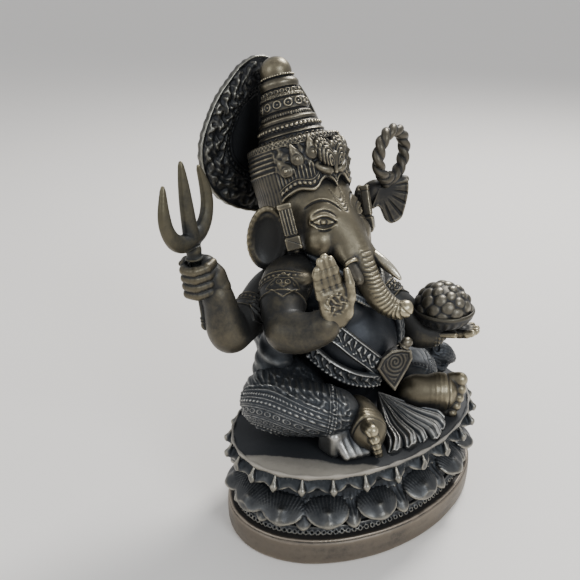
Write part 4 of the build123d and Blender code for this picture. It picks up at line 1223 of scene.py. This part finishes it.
# left arm in front, holding the bowl
clay = Clay((12, -34, 96), (66, 44, 164), 0.5)
clay.tube([(27, 28, 148, 12), (31, 15, 135, 10.6), (36, 4, 127, 9.8), (40.5, -4, 120, 9.4),
           (43.5, -9.5, 113, 9.2), (44, -11, 108, 9.0)], n=5, k=3)
clay.tube([(44, -11, 109, 9.0), (48, -16, 108.6, 8.0), (52, -20, 109.5, 6.6)], n=5, k=4)
armlet(clay, (33.5, 9.5, 131), (5, -11, -9), (0.7, -0.5, 0.5), 10.2, 4.5)
bangle(clay, (49.5, -17.6, 109.2), (4, -4.5, 0.6), 7.6, 1.4, rows=3, gap=2.2)
clay.emboss(lambda X, Y, Z: 0.5 * (dots(X - Y, np.mod(Z + 0.4 * X, 3.4) - 1.7, 3.4, 1.5))
            * smooth(44, 47, X) * smooth(118, 112, Z), (36, -30, 98), (62, 0, 122))
clay.solid("left_arm_front", "figure", "skin_brass",
           ["left_front_arm", "left_front_forearm", "left_front_bracelet"], ARM)

BOWL_CENTRE = np.array((55, -22, 128.0))
clay = Clay((30, -48, 98), (80, 4, 130), 0.4)
clay.slab((56, -22, 110.6), (9.5, 10, 2.2), axes((0, 0, 1), (0.7, -0.7, 0)), rnd=2.0, k=1)
clay.bone((50, -17.5, 109.5), (54.5, -21, 110.4), 6.2, 4.0, k=3)
for k in range(4):
    a = math.radians(-28 - 13 * k)
    reach = (1, 1.08, 1.05, 0.95)[k]
    knuckle = np.array((57.5, -23.5, 109.6))
    finger(clay, [(*(knuckle + np.array((math.cos(a), math.sin(a), 0)) * q * reach + (0, 0, z)), r)
                  for q, z, r in ((4, 0, 3.0), (10, 0.1, 2.9), (15, 1.0, 2.7), (19, 2.4, 2.1))],
           nail=(0.3, -0.6, -0.6))
finger(clay, [(60, -12, 109.5, 3.2), (67, -13, 110.5, 2.7), (72, -15, 112.5, 2.2), (75, -17, 115, 1.7)])
clay.solid("bowl_palm", "figure", "skin_brass", ["bowl_hand"], SKIN)

clay = Clay(BOWL_CENTRE - (26, 26, 24), BOWL_CENTRE + (26, 26, 8), 0.45)
clay.egg(BOWL_CENTRE - (0, 0, 1), (20.4, 20.4, 13.8), k=1)
clay.slab(BOWL_CENTRE + (0, 0, 18.2), (30, 30, 20), rnd=1, cut=True, k=0.6)
clay.hoop(BOWL_CENTRE - (0, 0, 1.6), (0, 0, 1), 19.6, 1.1, k=0.8, flat=1.2)


def flutes(X, Y, Z):
    a = np.arctan2(Y - BOWL_CENTRE[1], X - BOWL_CENTRE[0])
    return (0.2 * np.cos(a * 22) * smooth(-3.5, -5, Z - BOWL_CENTRE[2])
            * smooth(-14, -11, Z - BOWL_CENTRE[2]))


clay.emboss(flutes, BOWL_CENTRE - 24, BOWL_CENTRE + 24)
clay.solid("sweet_bowl", "figure", "attribute_brass", ["bowl"], BOWL)

clay = Clay(BOWL_CENTRE - (24, 24, 6), BOWL_CENTRE + (24, 24, 22), 0.45)
clay.egg(BOWL_CENTRE + (0, 0, -2), (18.2, 18.2, 17.0), k=1)
SWEETS = 34
golden = math.pi * (3 - math.sqrt(5))
for k in range(SWEETS):
    z = 1 - (k + 0.5) / SWEETS * 0.96
    a = k * golden
    q = math.sqrt(max(1 - z * z, 0))
    out = unit((q * math.cos(a), q * math.sin(a), z))
    r = 4.3 + 0.7 * math.sin(k * 2.3)
    clay.egg(BOWL_CENTRE + (16.6 * out[0], 16.6 * out[1], -2 + 15.6 * out[2]), (r, r * 0.92, 3.0),
             axes(out), k=0.25)
clay.slab(BOWL_CENTRE - (0, 0, 20), (30, 30, 17.0), rnd=1, cut=True, k=0.6)
clay.solid("sweet_heap", "figure", "attribute_brass", ["sweets"], HOLD)

# left arm behind, with the rope ring
clay = Clay((26, 22, 122), (70, 66, 204), 0.5)
clay.tube([(30, 40, 146, 13), (38, 46, 142, 11), (44, 50, 145, 9.2), (46.5, 51, 151, 8.0)], n=5, k=3)
clay.tube([(46.5, 51, 151, 8.0), (46, 49.5, 160, 6.6), (44, 46, 172, 5.4), (42.6, 43.5, 182, 4.7),
           (43, 41, 190, 4.7)], n=5, k=4)
armlet(clay, (39, 46.5, 142.6), (10, 6, 2), (0.5, 0.3, -0.8), 11, 4.5)
bangle(clay, (42.8, 43.4, 184), (-1, -4, 16), 5.7, 1.15, rows=5, gap=2.3)
clay.solid("left_arm_rear", "figure", "skin_brass",
           ["left_rear_arm", "left_rear_forearm", "left_rear_bracelet"], SKIN)

clay = Clay((30, 14, 168), (78, 52, 212), 0.4)
clay.tube([(43, 41, 188, 4.8), (44, 38.5, 194, 4.8), (47, 36, 197.5, 4.0)], k=2, n=4)
clay.tube([(44, 37.5, 195.6, 3.4), (51, 33.5, 199.4, 3.0), (60, 30, 200.4, 2.8), (67, 28, 200.6, 2.5)],
          k=1.2, n=4)
FAN_FACE = unit((-0.3, -0.95, 0))
# across, up, towards the viewer of its face
FAN = np.stack([(0.954, -0.3, 0), (0, 0, 1.0), FAN_FACE]).astype(F)
fan_at = vec((54, 31, 192))
fan_root = (-8, 5)
fan_edge = spline([(-12, -8.5), (-8.5, -7.4), (-5.6, -9.3), (-3.9, -13), (-1.3, -18.3), (2.6, -19.6),
                   (8.6, -16.8), (11.3, -10.5), (13.1, -2.3), (13.6, 3.2), (13.1, 8)], 5)
fan_turn = np.degrees(np.arctan2(fan_edge[:, 1] - fan_root[1], fan_edge[:, 0] - fan_root[0]))
fan_reach = np.hypot(fan_edge[:, 0] - fan_root[0], fan_edge[:, 1] - fan_root[1])


def fan_frame(X, Y, Z):
    u, v, w = turned(FAN, fan_at, X, Y, Z)
    turn = np.degrees(np.arctan2(v - fan_root[1], u - fan_root[0]))
    far = np.interp(turn, fan_turn, fan_reach).astype(F)
    return turn, np.hypot(u - fan_root[0], v - fan_root[1]), far, w


def fan_shape(X, Y, Z):
    """Bent fingers side by side, as one curved leaf."""
    turn, q, far, w = fan_frame(X, Y, Z)
    edge = np.maximum((q - far) * 0.8, (np.abs(turn + 50) - 62) * 0.25)
    cup = 2.0 * (q / 24) ** 2
    return np.maximum(edge, np.abs(w - cup) - 2.0)


def fan_lines(X, Y, Z):
    turn, q, far, w = fan_frame(X, Y, Z)
    finger_line = -0.9 * bump(np.mod(turn + 4, 18) - 9, 4.0) * smooth(8, 16, q) * smooth(0, -1.5, q - far)
    return (finger_line + 0.5 * bump(q - far + 1.2, 1.2)) * smooth(0, 1, w) * smooth(10, 4, turn)


clay.put(fan_shape, (36, 14, 168), (76, 48, 204), k=1.4)
clay.emboss(fan_lines, (36, 14, 168), (76, 48, 204))
clay.solid("ring_hand", "figure", "skin_brass", ["noose_hand"], ROPE)

clay = Clay((28, 14, 194), (76, 42, 244), 0.4)
ROPE_CENTRE, ROPE_ACROSS = np.array((52, 28, 219.5)), np.array((0.9727, 0.2317, 0))
ROPE_FACE = np.cross((0, 0, 1), ROPE_ACROSS)
STRAND_STEPS, STRAND_TURNS = 120, 6
for strand in range(2):
    pts = []
    for k in range(STRAND_STEPS + 1):
        a = 2 * math.pi * k / STRAND_STEPS
        tw = strand * math.pi - a * STRAND_TURNS
        r = 15.6 + 1.6 * math.cos(tw)
        p = (ROPE_CENTRE + ROPE_ACROSS * (r + 0.8) * math.cos(a) + ROPE_FACE * 1.6 * math.sin(tw)
             + np.array((0, 0, r * math.sin(a))))
        pts.append((*p, 2.75))
    clay.tube(pts, k=0.3)
clay.bone((50, 30, 200), (56, 28, 204.5), 3.4, 3.0, k=1)
clay.solid("rope_ring", "figure", "attribute_brass", ["noose"], ROPE)

# ---------------------------------------------------------------- trident
fork_turn = math.radians(25)
FORK_ACROSS = np.array((math.cos(fork_turn), math.sin(fork_turn), 0))
FORK_ACROSS = unit(FORK_ACROSS - SHAFT * np.dot(FORK_ACROSS, SHAFT))
FORK_FACE = np.cross(SHAFT, FORK_ACROSS)


def at_fork(x, z):
    return GRIP + FORK_ACROSS * x + SHAFT * z


clay = Clay((-112, 22, 132), (-84, 42, 196), 0.4)
clay.bone(GRIP - SHAFT * 30.5, GRIP + SHAFT * 22, 2.25, 2.25, k=0.5)
clay.egg(GRIP - SHAFT * 29.5, (3.0, 3.0, 2.6), k=1.5)
for z in (-26.5, -24.6):
    clay.hoop(GRIP + SHAFT * z, SHAFT, 2.3, 0.7, k=0.4)
clay.solid("fork_shaft", "trident", "trident_brass", ["trident_shaft"], FORK)

clay = Clay((-130, 14, 172), (-74, 50, 242), 0.4)
clay.bone(GRIP + SHAFT * 14.5, GRIP + SHAFT * 20, 4.3, 4.0, k=1)
clay.hoop(GRIP + SHAFT * 13.9, SHAFT, 4.1, 1.1, k=0.6)
clay.egg(GRIP + SHAFT * 19, (4.4, 4.4, 3.8), k=1.2)
blade = np.stack([FORK_ACROSS, FORK_FACE, SHAFT]).astype(F)
clay.slab(at_fork(0, 26), (5.5, 3.4, 4.2), blade, rnd=2.6, k=3)
clay.tube([(*at_fork(0, 24), 4.8), (*at_fork(0, 33), 4.6), (*at_fork(0.3, 45), 4.0),
           (*at_fork(0.9, 57), 2.9), (*at_fork(1.5, 68), 1.2)], n=6, k=1)
for s in (-1, 1):
    clay.tube([(*at_fork(s * 2, 25), 4.6), (*at_fork(s * 9.5, 26.2), 4.5),
               (*at_fork(s * 16.3, 31), 4.1), (*at_fork(s * 20.2, 39), 3.7),
               (*at_fork(s * 20.4, 48), 3.1), (*at_fork(s * 17.3, 61), 1.1)], n=6, k=1.2)


def bevels(X, Y, Z):
    """Flattens the prongs a little, front and back, so their edges catch light."""
    y = (X - GRIP[0]) * FORK_FACE[0] + (Y - GRIP[1]) * FORK_FACE[1] + (Z - GRIP[2]) * FORK_FACE[2]
    return -0.35 * np.maximum(np.abs(y) - 1.4, 0)


clay.emboss(bevels, (-130, 14, 190), (-74, 50, 242))
clay.solid("fork_head", "trident", "trident_brass", ["trident_head"], FORK)

# ---------------------------------------------------------------- legs
def hem(loc, h0, radius):
    def shape(X, Y, Z):
        h, a, r = loc(X, Y, Z)
        u = a * radius
        near = smooth(radius + 8, radius + 4, r)
        return (near * (0.9 * dots(u, h - h0, 2.4, 1.15) + 0.7 * bump(h - h0 - 2, 0.7)
                        + 0.7 * bump(h - h0 + 2, 0.7)))
    return shape


knee_rows = [(-13, "line", 0.7, 0.7), (-11, "dots", 0.95, 0.8), (-9, "line", 0.7, 0.7),
             (-6.8, "rings", 1.05, 0.7), (-4.6, "line", 0.7, 0.8), (-3.2, "line", 0.5, 0.6),
             (-0.6, "rings", 1.35, 0.8), (2.0, "line", 0.7, 0.8), (3.4, "line", 0.5, 0.6),
             (5.6, "dots", 1.0, 0.9), (7.8, "line", 0.7, 0.8), (10, "teeth", 1.5, 0.8),
             (12.4, "line", 0.7, 0.7), (14.2, "line", 0.6, 0.6)]

clay = Clay((-88, -46, 60), (-10, 46, 112), 0.55)
clay.tube([(-20, 24, 85, 17), (-42, 15, 88.5, 17.4), (-60, 8, 90.5, 17.2), (-66, 6, 90.5, 16.8)], n=4,
          k=3)
clay.tube([(-66, 6, 90, 16.6), (-60, -4, 88.5, 15.6), (-48, -14, 86, 14.0), (-37, -22, 84, 13.2)], n=4,
          k=4)


def knee_panel(X, Y, Z):
    """Height and run on the woven panel, and how far inside the panel a place is."""
    h, a, r = frame_of((-66, 6, 90), (0.25, -0.05, 1.0), (-0.7, -0.7, 0))(X, Y, Z)
    v, u = h + 0.02 * (a * 16) ** 2, a * 16
    inside = smooth(22, 20.5, np.abs(u - 2)) * smooth(13.5, 12.5, np.abs(v - 0.5)) * smooth(-46, -48, X)
    return u, v, inside * smooth(4, 8, r), r


def knee_weave(X, Y, Z):
    u, v, inside, r = knee_panel(X, Y, Z)
    frame_line = (bump(np.abs(u - 2) - 22.4, 0.9) * (np.abs(v - 0.5) < 14)
                  + bump(np.abs(v - 0.5) - 14.4, 0.9) * (np.abs(u - 2) < 22))
    return bands(u, v, knee_rows) * inside + 0.8 * frame_line * smooth(4, 8, r) * smooth(-46, -48, X)


def drape(X, Y, Z):
    """Fine scrolls and folds over the rest of the leg."""
    u, v, inside, r = knee_panel(X, Y, Z)
    s, q = X * 0.8 - Y * 0.6, Z + 0.3 * X
    texture = (0.45 * scroll(s, q, 1.35) + 0.3 * dots(s, np.mod(q, 3.2) - 1.6, 3.2, 0.9)
               + 0.25 * np.cos(q * 2 * math.pi / 3.2))
    return texture * (1 - inside) * smooth(-34, -40, X)


clay.emboss(knee_weave, (-86, -36, 68), (-46, 26, 112))
clay.emboss(drape, (-88, -36, 66), (-24, 30, 112))
shin = frame_of((-50, -12.5, 86.5), (29, -19, -5), (0, 0, 1))
clay.emboss(hem(shin, 10.5, 14), (-66, -46, 62), (-20, 6, 106))
clay.solid("right_leg", "figure", "cloth_brass", ["right_thigh", "right_shin"], CLOTH)

clay = Clay((10, -42, 60), (84, 42, 108), 0.55)
clay.tube([(18, 24, 81, 16), (36, 15, 79, 15), (52, 7, 74.5, 12.6), (57, 3, 73.5, 12)], n=4, k=3)
clay.tube([(57, 3, 73.5, 11.8), (53, -5, 74, 11.8), (44, -13, 74.5, 11.6), (35, -20, 75, 11.6)], n=4, k=4)


def weave_left(X, Y, Z):
    loc = frame_of((56, 2, 74), (-0.2, 0.05, 1.0), (0.7, -0.7, 0))
    h, a, r = loc(X, Y, Z)
    return bands(a * 15, h, knee_rows) * smooth(4, 8, r) * smooth(34, 42, X)


clay.emboss(weave_left, (34, -34, 62), (84, 30, 104))
shin = frame_of((46, -12, 77), (-23, -16, -2), (0, 0, 1))
clay.emboss(hem(shin, 8.0, 13), (20, -42, 62), (64, 6, 98))
clay.solid("left_leg", "figure", "cloth_brass", ["left_thigh", "left_shin"], CLOTH)


TOES = ((0.66, 3.9, 1.02), (0.16, 3.2, 1.02), (-0.28, 3.0, 0.98), (-0.70, 2.8, 0.92), (-1.08, 2.7, 0.84))


def foot(name, node, heel, toes, sole, height, box, stout=1.0):
    """A foot lying on its outer edge: sole faces sideways, toes stacked with the big toe on top."""
    heel, toes, sole = np.array(heel, float), np.array(toes, float), unit(sole)
    d = unit(toes - heel)
    up = unit(np.cross(sole, d))
    up = up if up[2] > 0 else -up
    L = np.linalg.norm(toes - heel)
    R = np.stack([d, up, sole]).astype(F)
    clay = Clay(*box, 0.42)
    h = height / 2

    def P(a, b, c, r):
        return (*(heel + d * a * L + up * b * h + sole * c), r)

    clay.tube([P(0.02, -0.05, 0, h * 0.66), P(0.3, 0.02, -0.4, h * 0.72), P(0.6, 0.04, 0, h * 0.78)],
              k=4, n=3)
    # ball of the foot
    clay.egg(heel + d * L * 0.55 - up * h * 0.04, (h * 0.85, h * 1.05, 6.4), R, k=4)
    clay.egg(heel + d * L * 0.02, (h * 0.9, h * 0.9, h * 0.66), R, k=4)                   # heel
    clay.egg(heel + d * L * 0.05 + up * h * 0.25 - sole * 5.0, (3.2, 3.2, 2.4), R, k=2)    # ankle
    for b, r, reach in TOES:
        root = heel + d * L * 0.60 + up * b * h * 0.88
        mid = heel + d * L * (0.64 + reach) / 2 + up * b * h * 1.0 - sole * 0.4
        tip = heel + d * L * reach * 0.97 + up * b * h * 1.02 + sole * 0.8
        finger(clay, [(*root, r), (*mid, r * 0.86 * stout), (*tip, r * 0.98 * stout)], k=0.8,
               nail=-sole + d * 0.2)

    def crease(X, Y, Z):
        x, y, z = X - heel[0], Y - heel[1], Z - heel[2]
        a = (x * d[0] + y * d[1] + z * d[2]) / L
        return (-0.5 * bump(a - 0.70, 0.035) - 0.15 * np.abs(np.sin(a * 30)) * smooth(0.2, 0.5, a)
                * smooth(0.68, 0.6, a))

    clay.emboss(crease, heel - 40, heel + 40)
    clay.solid(name, "figure", "skin_brass", [node], SKIN)


foot("right_sole", "right_foot", (-20, -24, 77.0), (-33.5, -50.5, 75.0), (0.82, -0.42, 0.30), 27.0,
     box=((-52, -66, 60), (-6, -10, 96)))
foot("left_sole", "left_foot", (28, -26, 75.5), (51.5, -45, 75.0), (-0.58, -0.72, 0.36), 25.0,
     box=((14, -64, 60), (72, -8, 94)), stout=1.25)

# ---------------------------------------------------------------- cloth on the seat
clay = Clay((-34, -70, 58), (52, -6, 86), 0.45)
FOLD_ROOT, FOLDS, FOLD_FIRST, FOLD_TURN = np.array((8.0, -12.0)), 6, -130.0, 14.0


def pleats(X, Y, Z):
    """Cloth gathered under the belly and spread over the seat in rounded folds."""
    x, y = X - FOLD_ROOT[0], Y - FOLD_ROOT[1]
    q = np.sqrt(x * x + y * y)
    turn = np.degrees(np.arctan2(y, x)) + 2.6 * np.sin(q / 7.5) + 1.2 * np.sin(q / 4.1 + 1)
    k = (turn - FOLD_FIRST) / FOLD_TURN
    t = k - np.floor(k)
    ridge = np.clip(1 - (2 * t - 1) ** 2, 0, 1) ** 0.55
    lap = 0.45 * smooth(0.1, 0.9, t) + 0.3 * np.sin(np.floor(k) * 2.3)
    crease = -0.28 * bump(t - 0.33, 0.13) - 0.22 * bump(t - 0.66, 0.11)
    grow = np.interp(q, [0, 12, 30, 46], [0.5, 1.8, 4.4, 5.2]).astype(F)
    reach = 46.0 + 2.2 * np.sin(np.floor(k) * 2.1 + 1) - 5.0 * (1 - ridge)
    base = np.interp(q, [0, 14, 30, 44, 50], [76.5, 71.5, 65.4, 61.8, 61.4]).astype(F)
    height = base + (ridge * 0.9 + lap + crease) * grow
    tuck = 2.6 * smooth(reach - 6, reach, q) ** 2
    side = np.maximum(-k, k - FOLDS) * 3.0
    return np.maximum(np.maximum((Z - height + tuck) * 0.7, (q - reach) * 0.8),
                      np.maximum(side, 61.2 - Z))


clay.put(pleats, (-34, -68, 58), (52, -6, 86), k=1.6)
clay.solid("front_folds", "figure", "cloth_brass", ["front_pleats"], FOLD)

clay = Clay((-60, -52, 58), (-20, -10, 86), 0.5)
clay.slab((-42, -27, 70), (9, 8, 8.6), rnd=3.5, k=2)
for k in range(4):
    x = -45 + k * 4.2
    clay.tube([(x, -28, 78, 2.6), (x - 0.4, -34 - k * 0.8, 71, 2.4),
               (x + 0.2 * k, -39.5 - k * 1.1, 64.5, 2.6 + 0.2 * k)], k=2.0, n=3)
clay.bone((-33, -42.5, 64), (-37, -40, 68), 1.8, 1.2, k=1)
clay.slab((-41, -30, 52), (60, 60, 10.2), rnd=1, k=0.6, cut=True)
clay.solid("ankle_cloth", "figure", "cloth_brass", ["hem_support"], FOLD)

# ---------------------------------------------------------------- mouse
MOUSE_FRONT = unit((0.78, -0.63, 0))                      # the way the mouse looks
MOUSE_LEFT = np.array((-MOUSE_FRONT[1], MOUSE_FRONT[0], 0))                # its left side


def at_mouse(f, sd, z, r):
    return (*(np.array((66, 4, 0)) + MOUSE_FRONT * f + MOUSE_LEFT * sd + (0, 0, z)), r)


MOUSE_AXES = np.stack([MOUSE_FRONT, MOUSE_LEFT, np.array((0, 0, 1.0))]).astype(F)
clay = Clay((44, -28, 58), (94, 30, 100), 0.45)
clay.tube([at_mouse(-3, 0, 72.5, 10.6), at_mouse(4, 0, 74.5, 10.4), at_mouse(10, 0, 78, 8.6)], k=2, n=3)
clay.tube([at_mouse(12, 0, 80, 8.2), at_mouse(17.5, 0, 78.5, 6.4), at_mouse(23.5, 0, 74.6, 3.0)], k=2,
          n=3)
clay.egg(at_mouse(24.3, 0, 74, 0)[:3], (1.5, 1.5, 1.4), k=0.5)
for s in (-1, 1):
    c = np.array(at_mouse(10.5, s * 5.0, 87.6, 0)[:3])
    R = axes(unit(MOUSE_FRONT * 0.25 + MOUSE_LEFT * s * 0.85 + (0, 0, 0.2)), (0.1, 0.05, 1))
    clay.egg(c, (6.2, 4.2, 1.7), R, k=1.2)
    clay.egg(c + R[2] * 1.5, (4.2, 2.6, 1.3), R, k=0.6, cut=True)
    clay.egg(at_mouse(17.5, s * 5.2, 80.6, 0)[:3], (1.3, 1.3, 1.3), k=0.3)
    clay.tube([at_mouse(10, s * 7.5, 72, 3.2), at_mouse(15, s * 6.5, 70, 2.6),
               at_mouse(19, s * 3, 71.5, 2.1)], k=0.8, n=3)
    clay.egg(at_mouse(-3, s * 8, 68, 0)[:3], (8.5, 4.6, 6), MOUSE_AXES, k=1.5)
    clay.bone(at_mouse(3, s * 8.5, 64.4, 0)[:3], at_mouse(9.5, s * 8.5, 64, 0)[:3], 2.4, 1.9, k=1)
    for k in range(3):                           # whiskers
        clay.tube([at_mouse(21, s * 3.0, 76.0 - k * 1.1, 0.5),
                   at_mouse(18.5, s * 6.0, 76.6 - k * 1.6, 0.4)], k=0.5)
clay.egg(at_mouse(20, 0, 71.5, 0)[:3], (2.8, 2.8, 2.6), k=0.6)
clay.tube([at_mouse(-11, 0, 66, 3.0), at_mouse(-16, -3, 64.6, 2.4), at_mouse(-15, -9, 64.4, 2.0),
           at_mouse(-8, -13, 64.2, 1.6)], k=0.8, n=4)
clay.emboss(lambda X, Y, Z: 0.2 * np.sin(Z * 2.2 + np.sin(X * 0.9) * 1.4) * np.cos(X * 1.5 + Y * 1.3),
            (44, -28, 60), (94, 30, 96))
clay.slab((72, -8, 52), (60, 60, 10.1), rnd=1, k=0.5, cut=True)
clay.solid("mouse_figure", "figure", "skin_brass", ["mouse"], BELLY)

# ---------------------------------------------------------------- wear, patina and painted shade
SHADE = blur(MASS, 5)
GLOOM = blur(MASS[::2, ::2, ::2], 12)
for piece in PIECES:
    wear_and_shade(*piece)

# ---------------------------------------------------------------- stage
floor_mat = bpy.data.materials.new("floor")
floor_mat.use_nodes = True
floor_shader = floor_mat.node_tree.nodes["Principled BSDF"]
floor_shader.inputs["Base Color"].default_value = (0.86, 0.83, 0.79, 1)
floor_shader.inputs["Roughness"].default_value = 0.6
bpy.ops.mesh.primitive_plane_add(size=60, location=(0, 0, 0))
floor = bpy.context.object
floor.name = "floor"
floor.data.materials.append(floor_mat)


def area(name, place, aim, size, watts, colour=(1, 1, 1)):
    data = bpy.data.lights.new(name, "AREA")
    data.shape, data.size, data.energy, data.color = "DISK", size, watts, colour
    lamp = bpy.data.objects.new(name, data)
    bpy.context.scene.collection.objects.link(lamp)
    lamp.location = place
    lamp.rotation_euler = (Vector(aim) - Vector(place)).to_track_quat("-Z", "Y").to_euler()


area("key", (1.0, 0.35, 1.3), (0, 0, 0.12), 0.45, 25, (1, 0.985, 0.96))
area("front", (-0.1, -1.5, 1.1), (0, 0, 0.12), 0.7, 12, (0.90, 0.95, 1))
area("left", (-1.5, 0.1, 0.9), (0, 0, 0.12), 0.9, 4, (0.92, 0.96, 1))
world = bpy.data.worlds.new("studio")
world.use_nodes = True
world.node_tree.nodes["Background"].inputs["Color"].default_value = (0.84, 0.85, 0.87, 1)
world.node_tree.nodes["Background"].inputs["Strength"].default_value = 0.78
bpy.context.scene.world = world

lens = bpy.data.cameras.new("camera")
lens.sensor_width, lens.lens = 36.0, 45.93
lens.clip_start = 0.01
camera = bpy.data.objects.new("camera", lens)
bpy.context.scene.collection.objects.link(camera)
camera.location = (-0.3009, -0.3009, 0.3254)
camera.rotation_euler = Vector((0.5816, 0.7144, -0.3891)).to_track_quat("-Z", "Y").to_euler()
bpy.context.scene.camera = camera
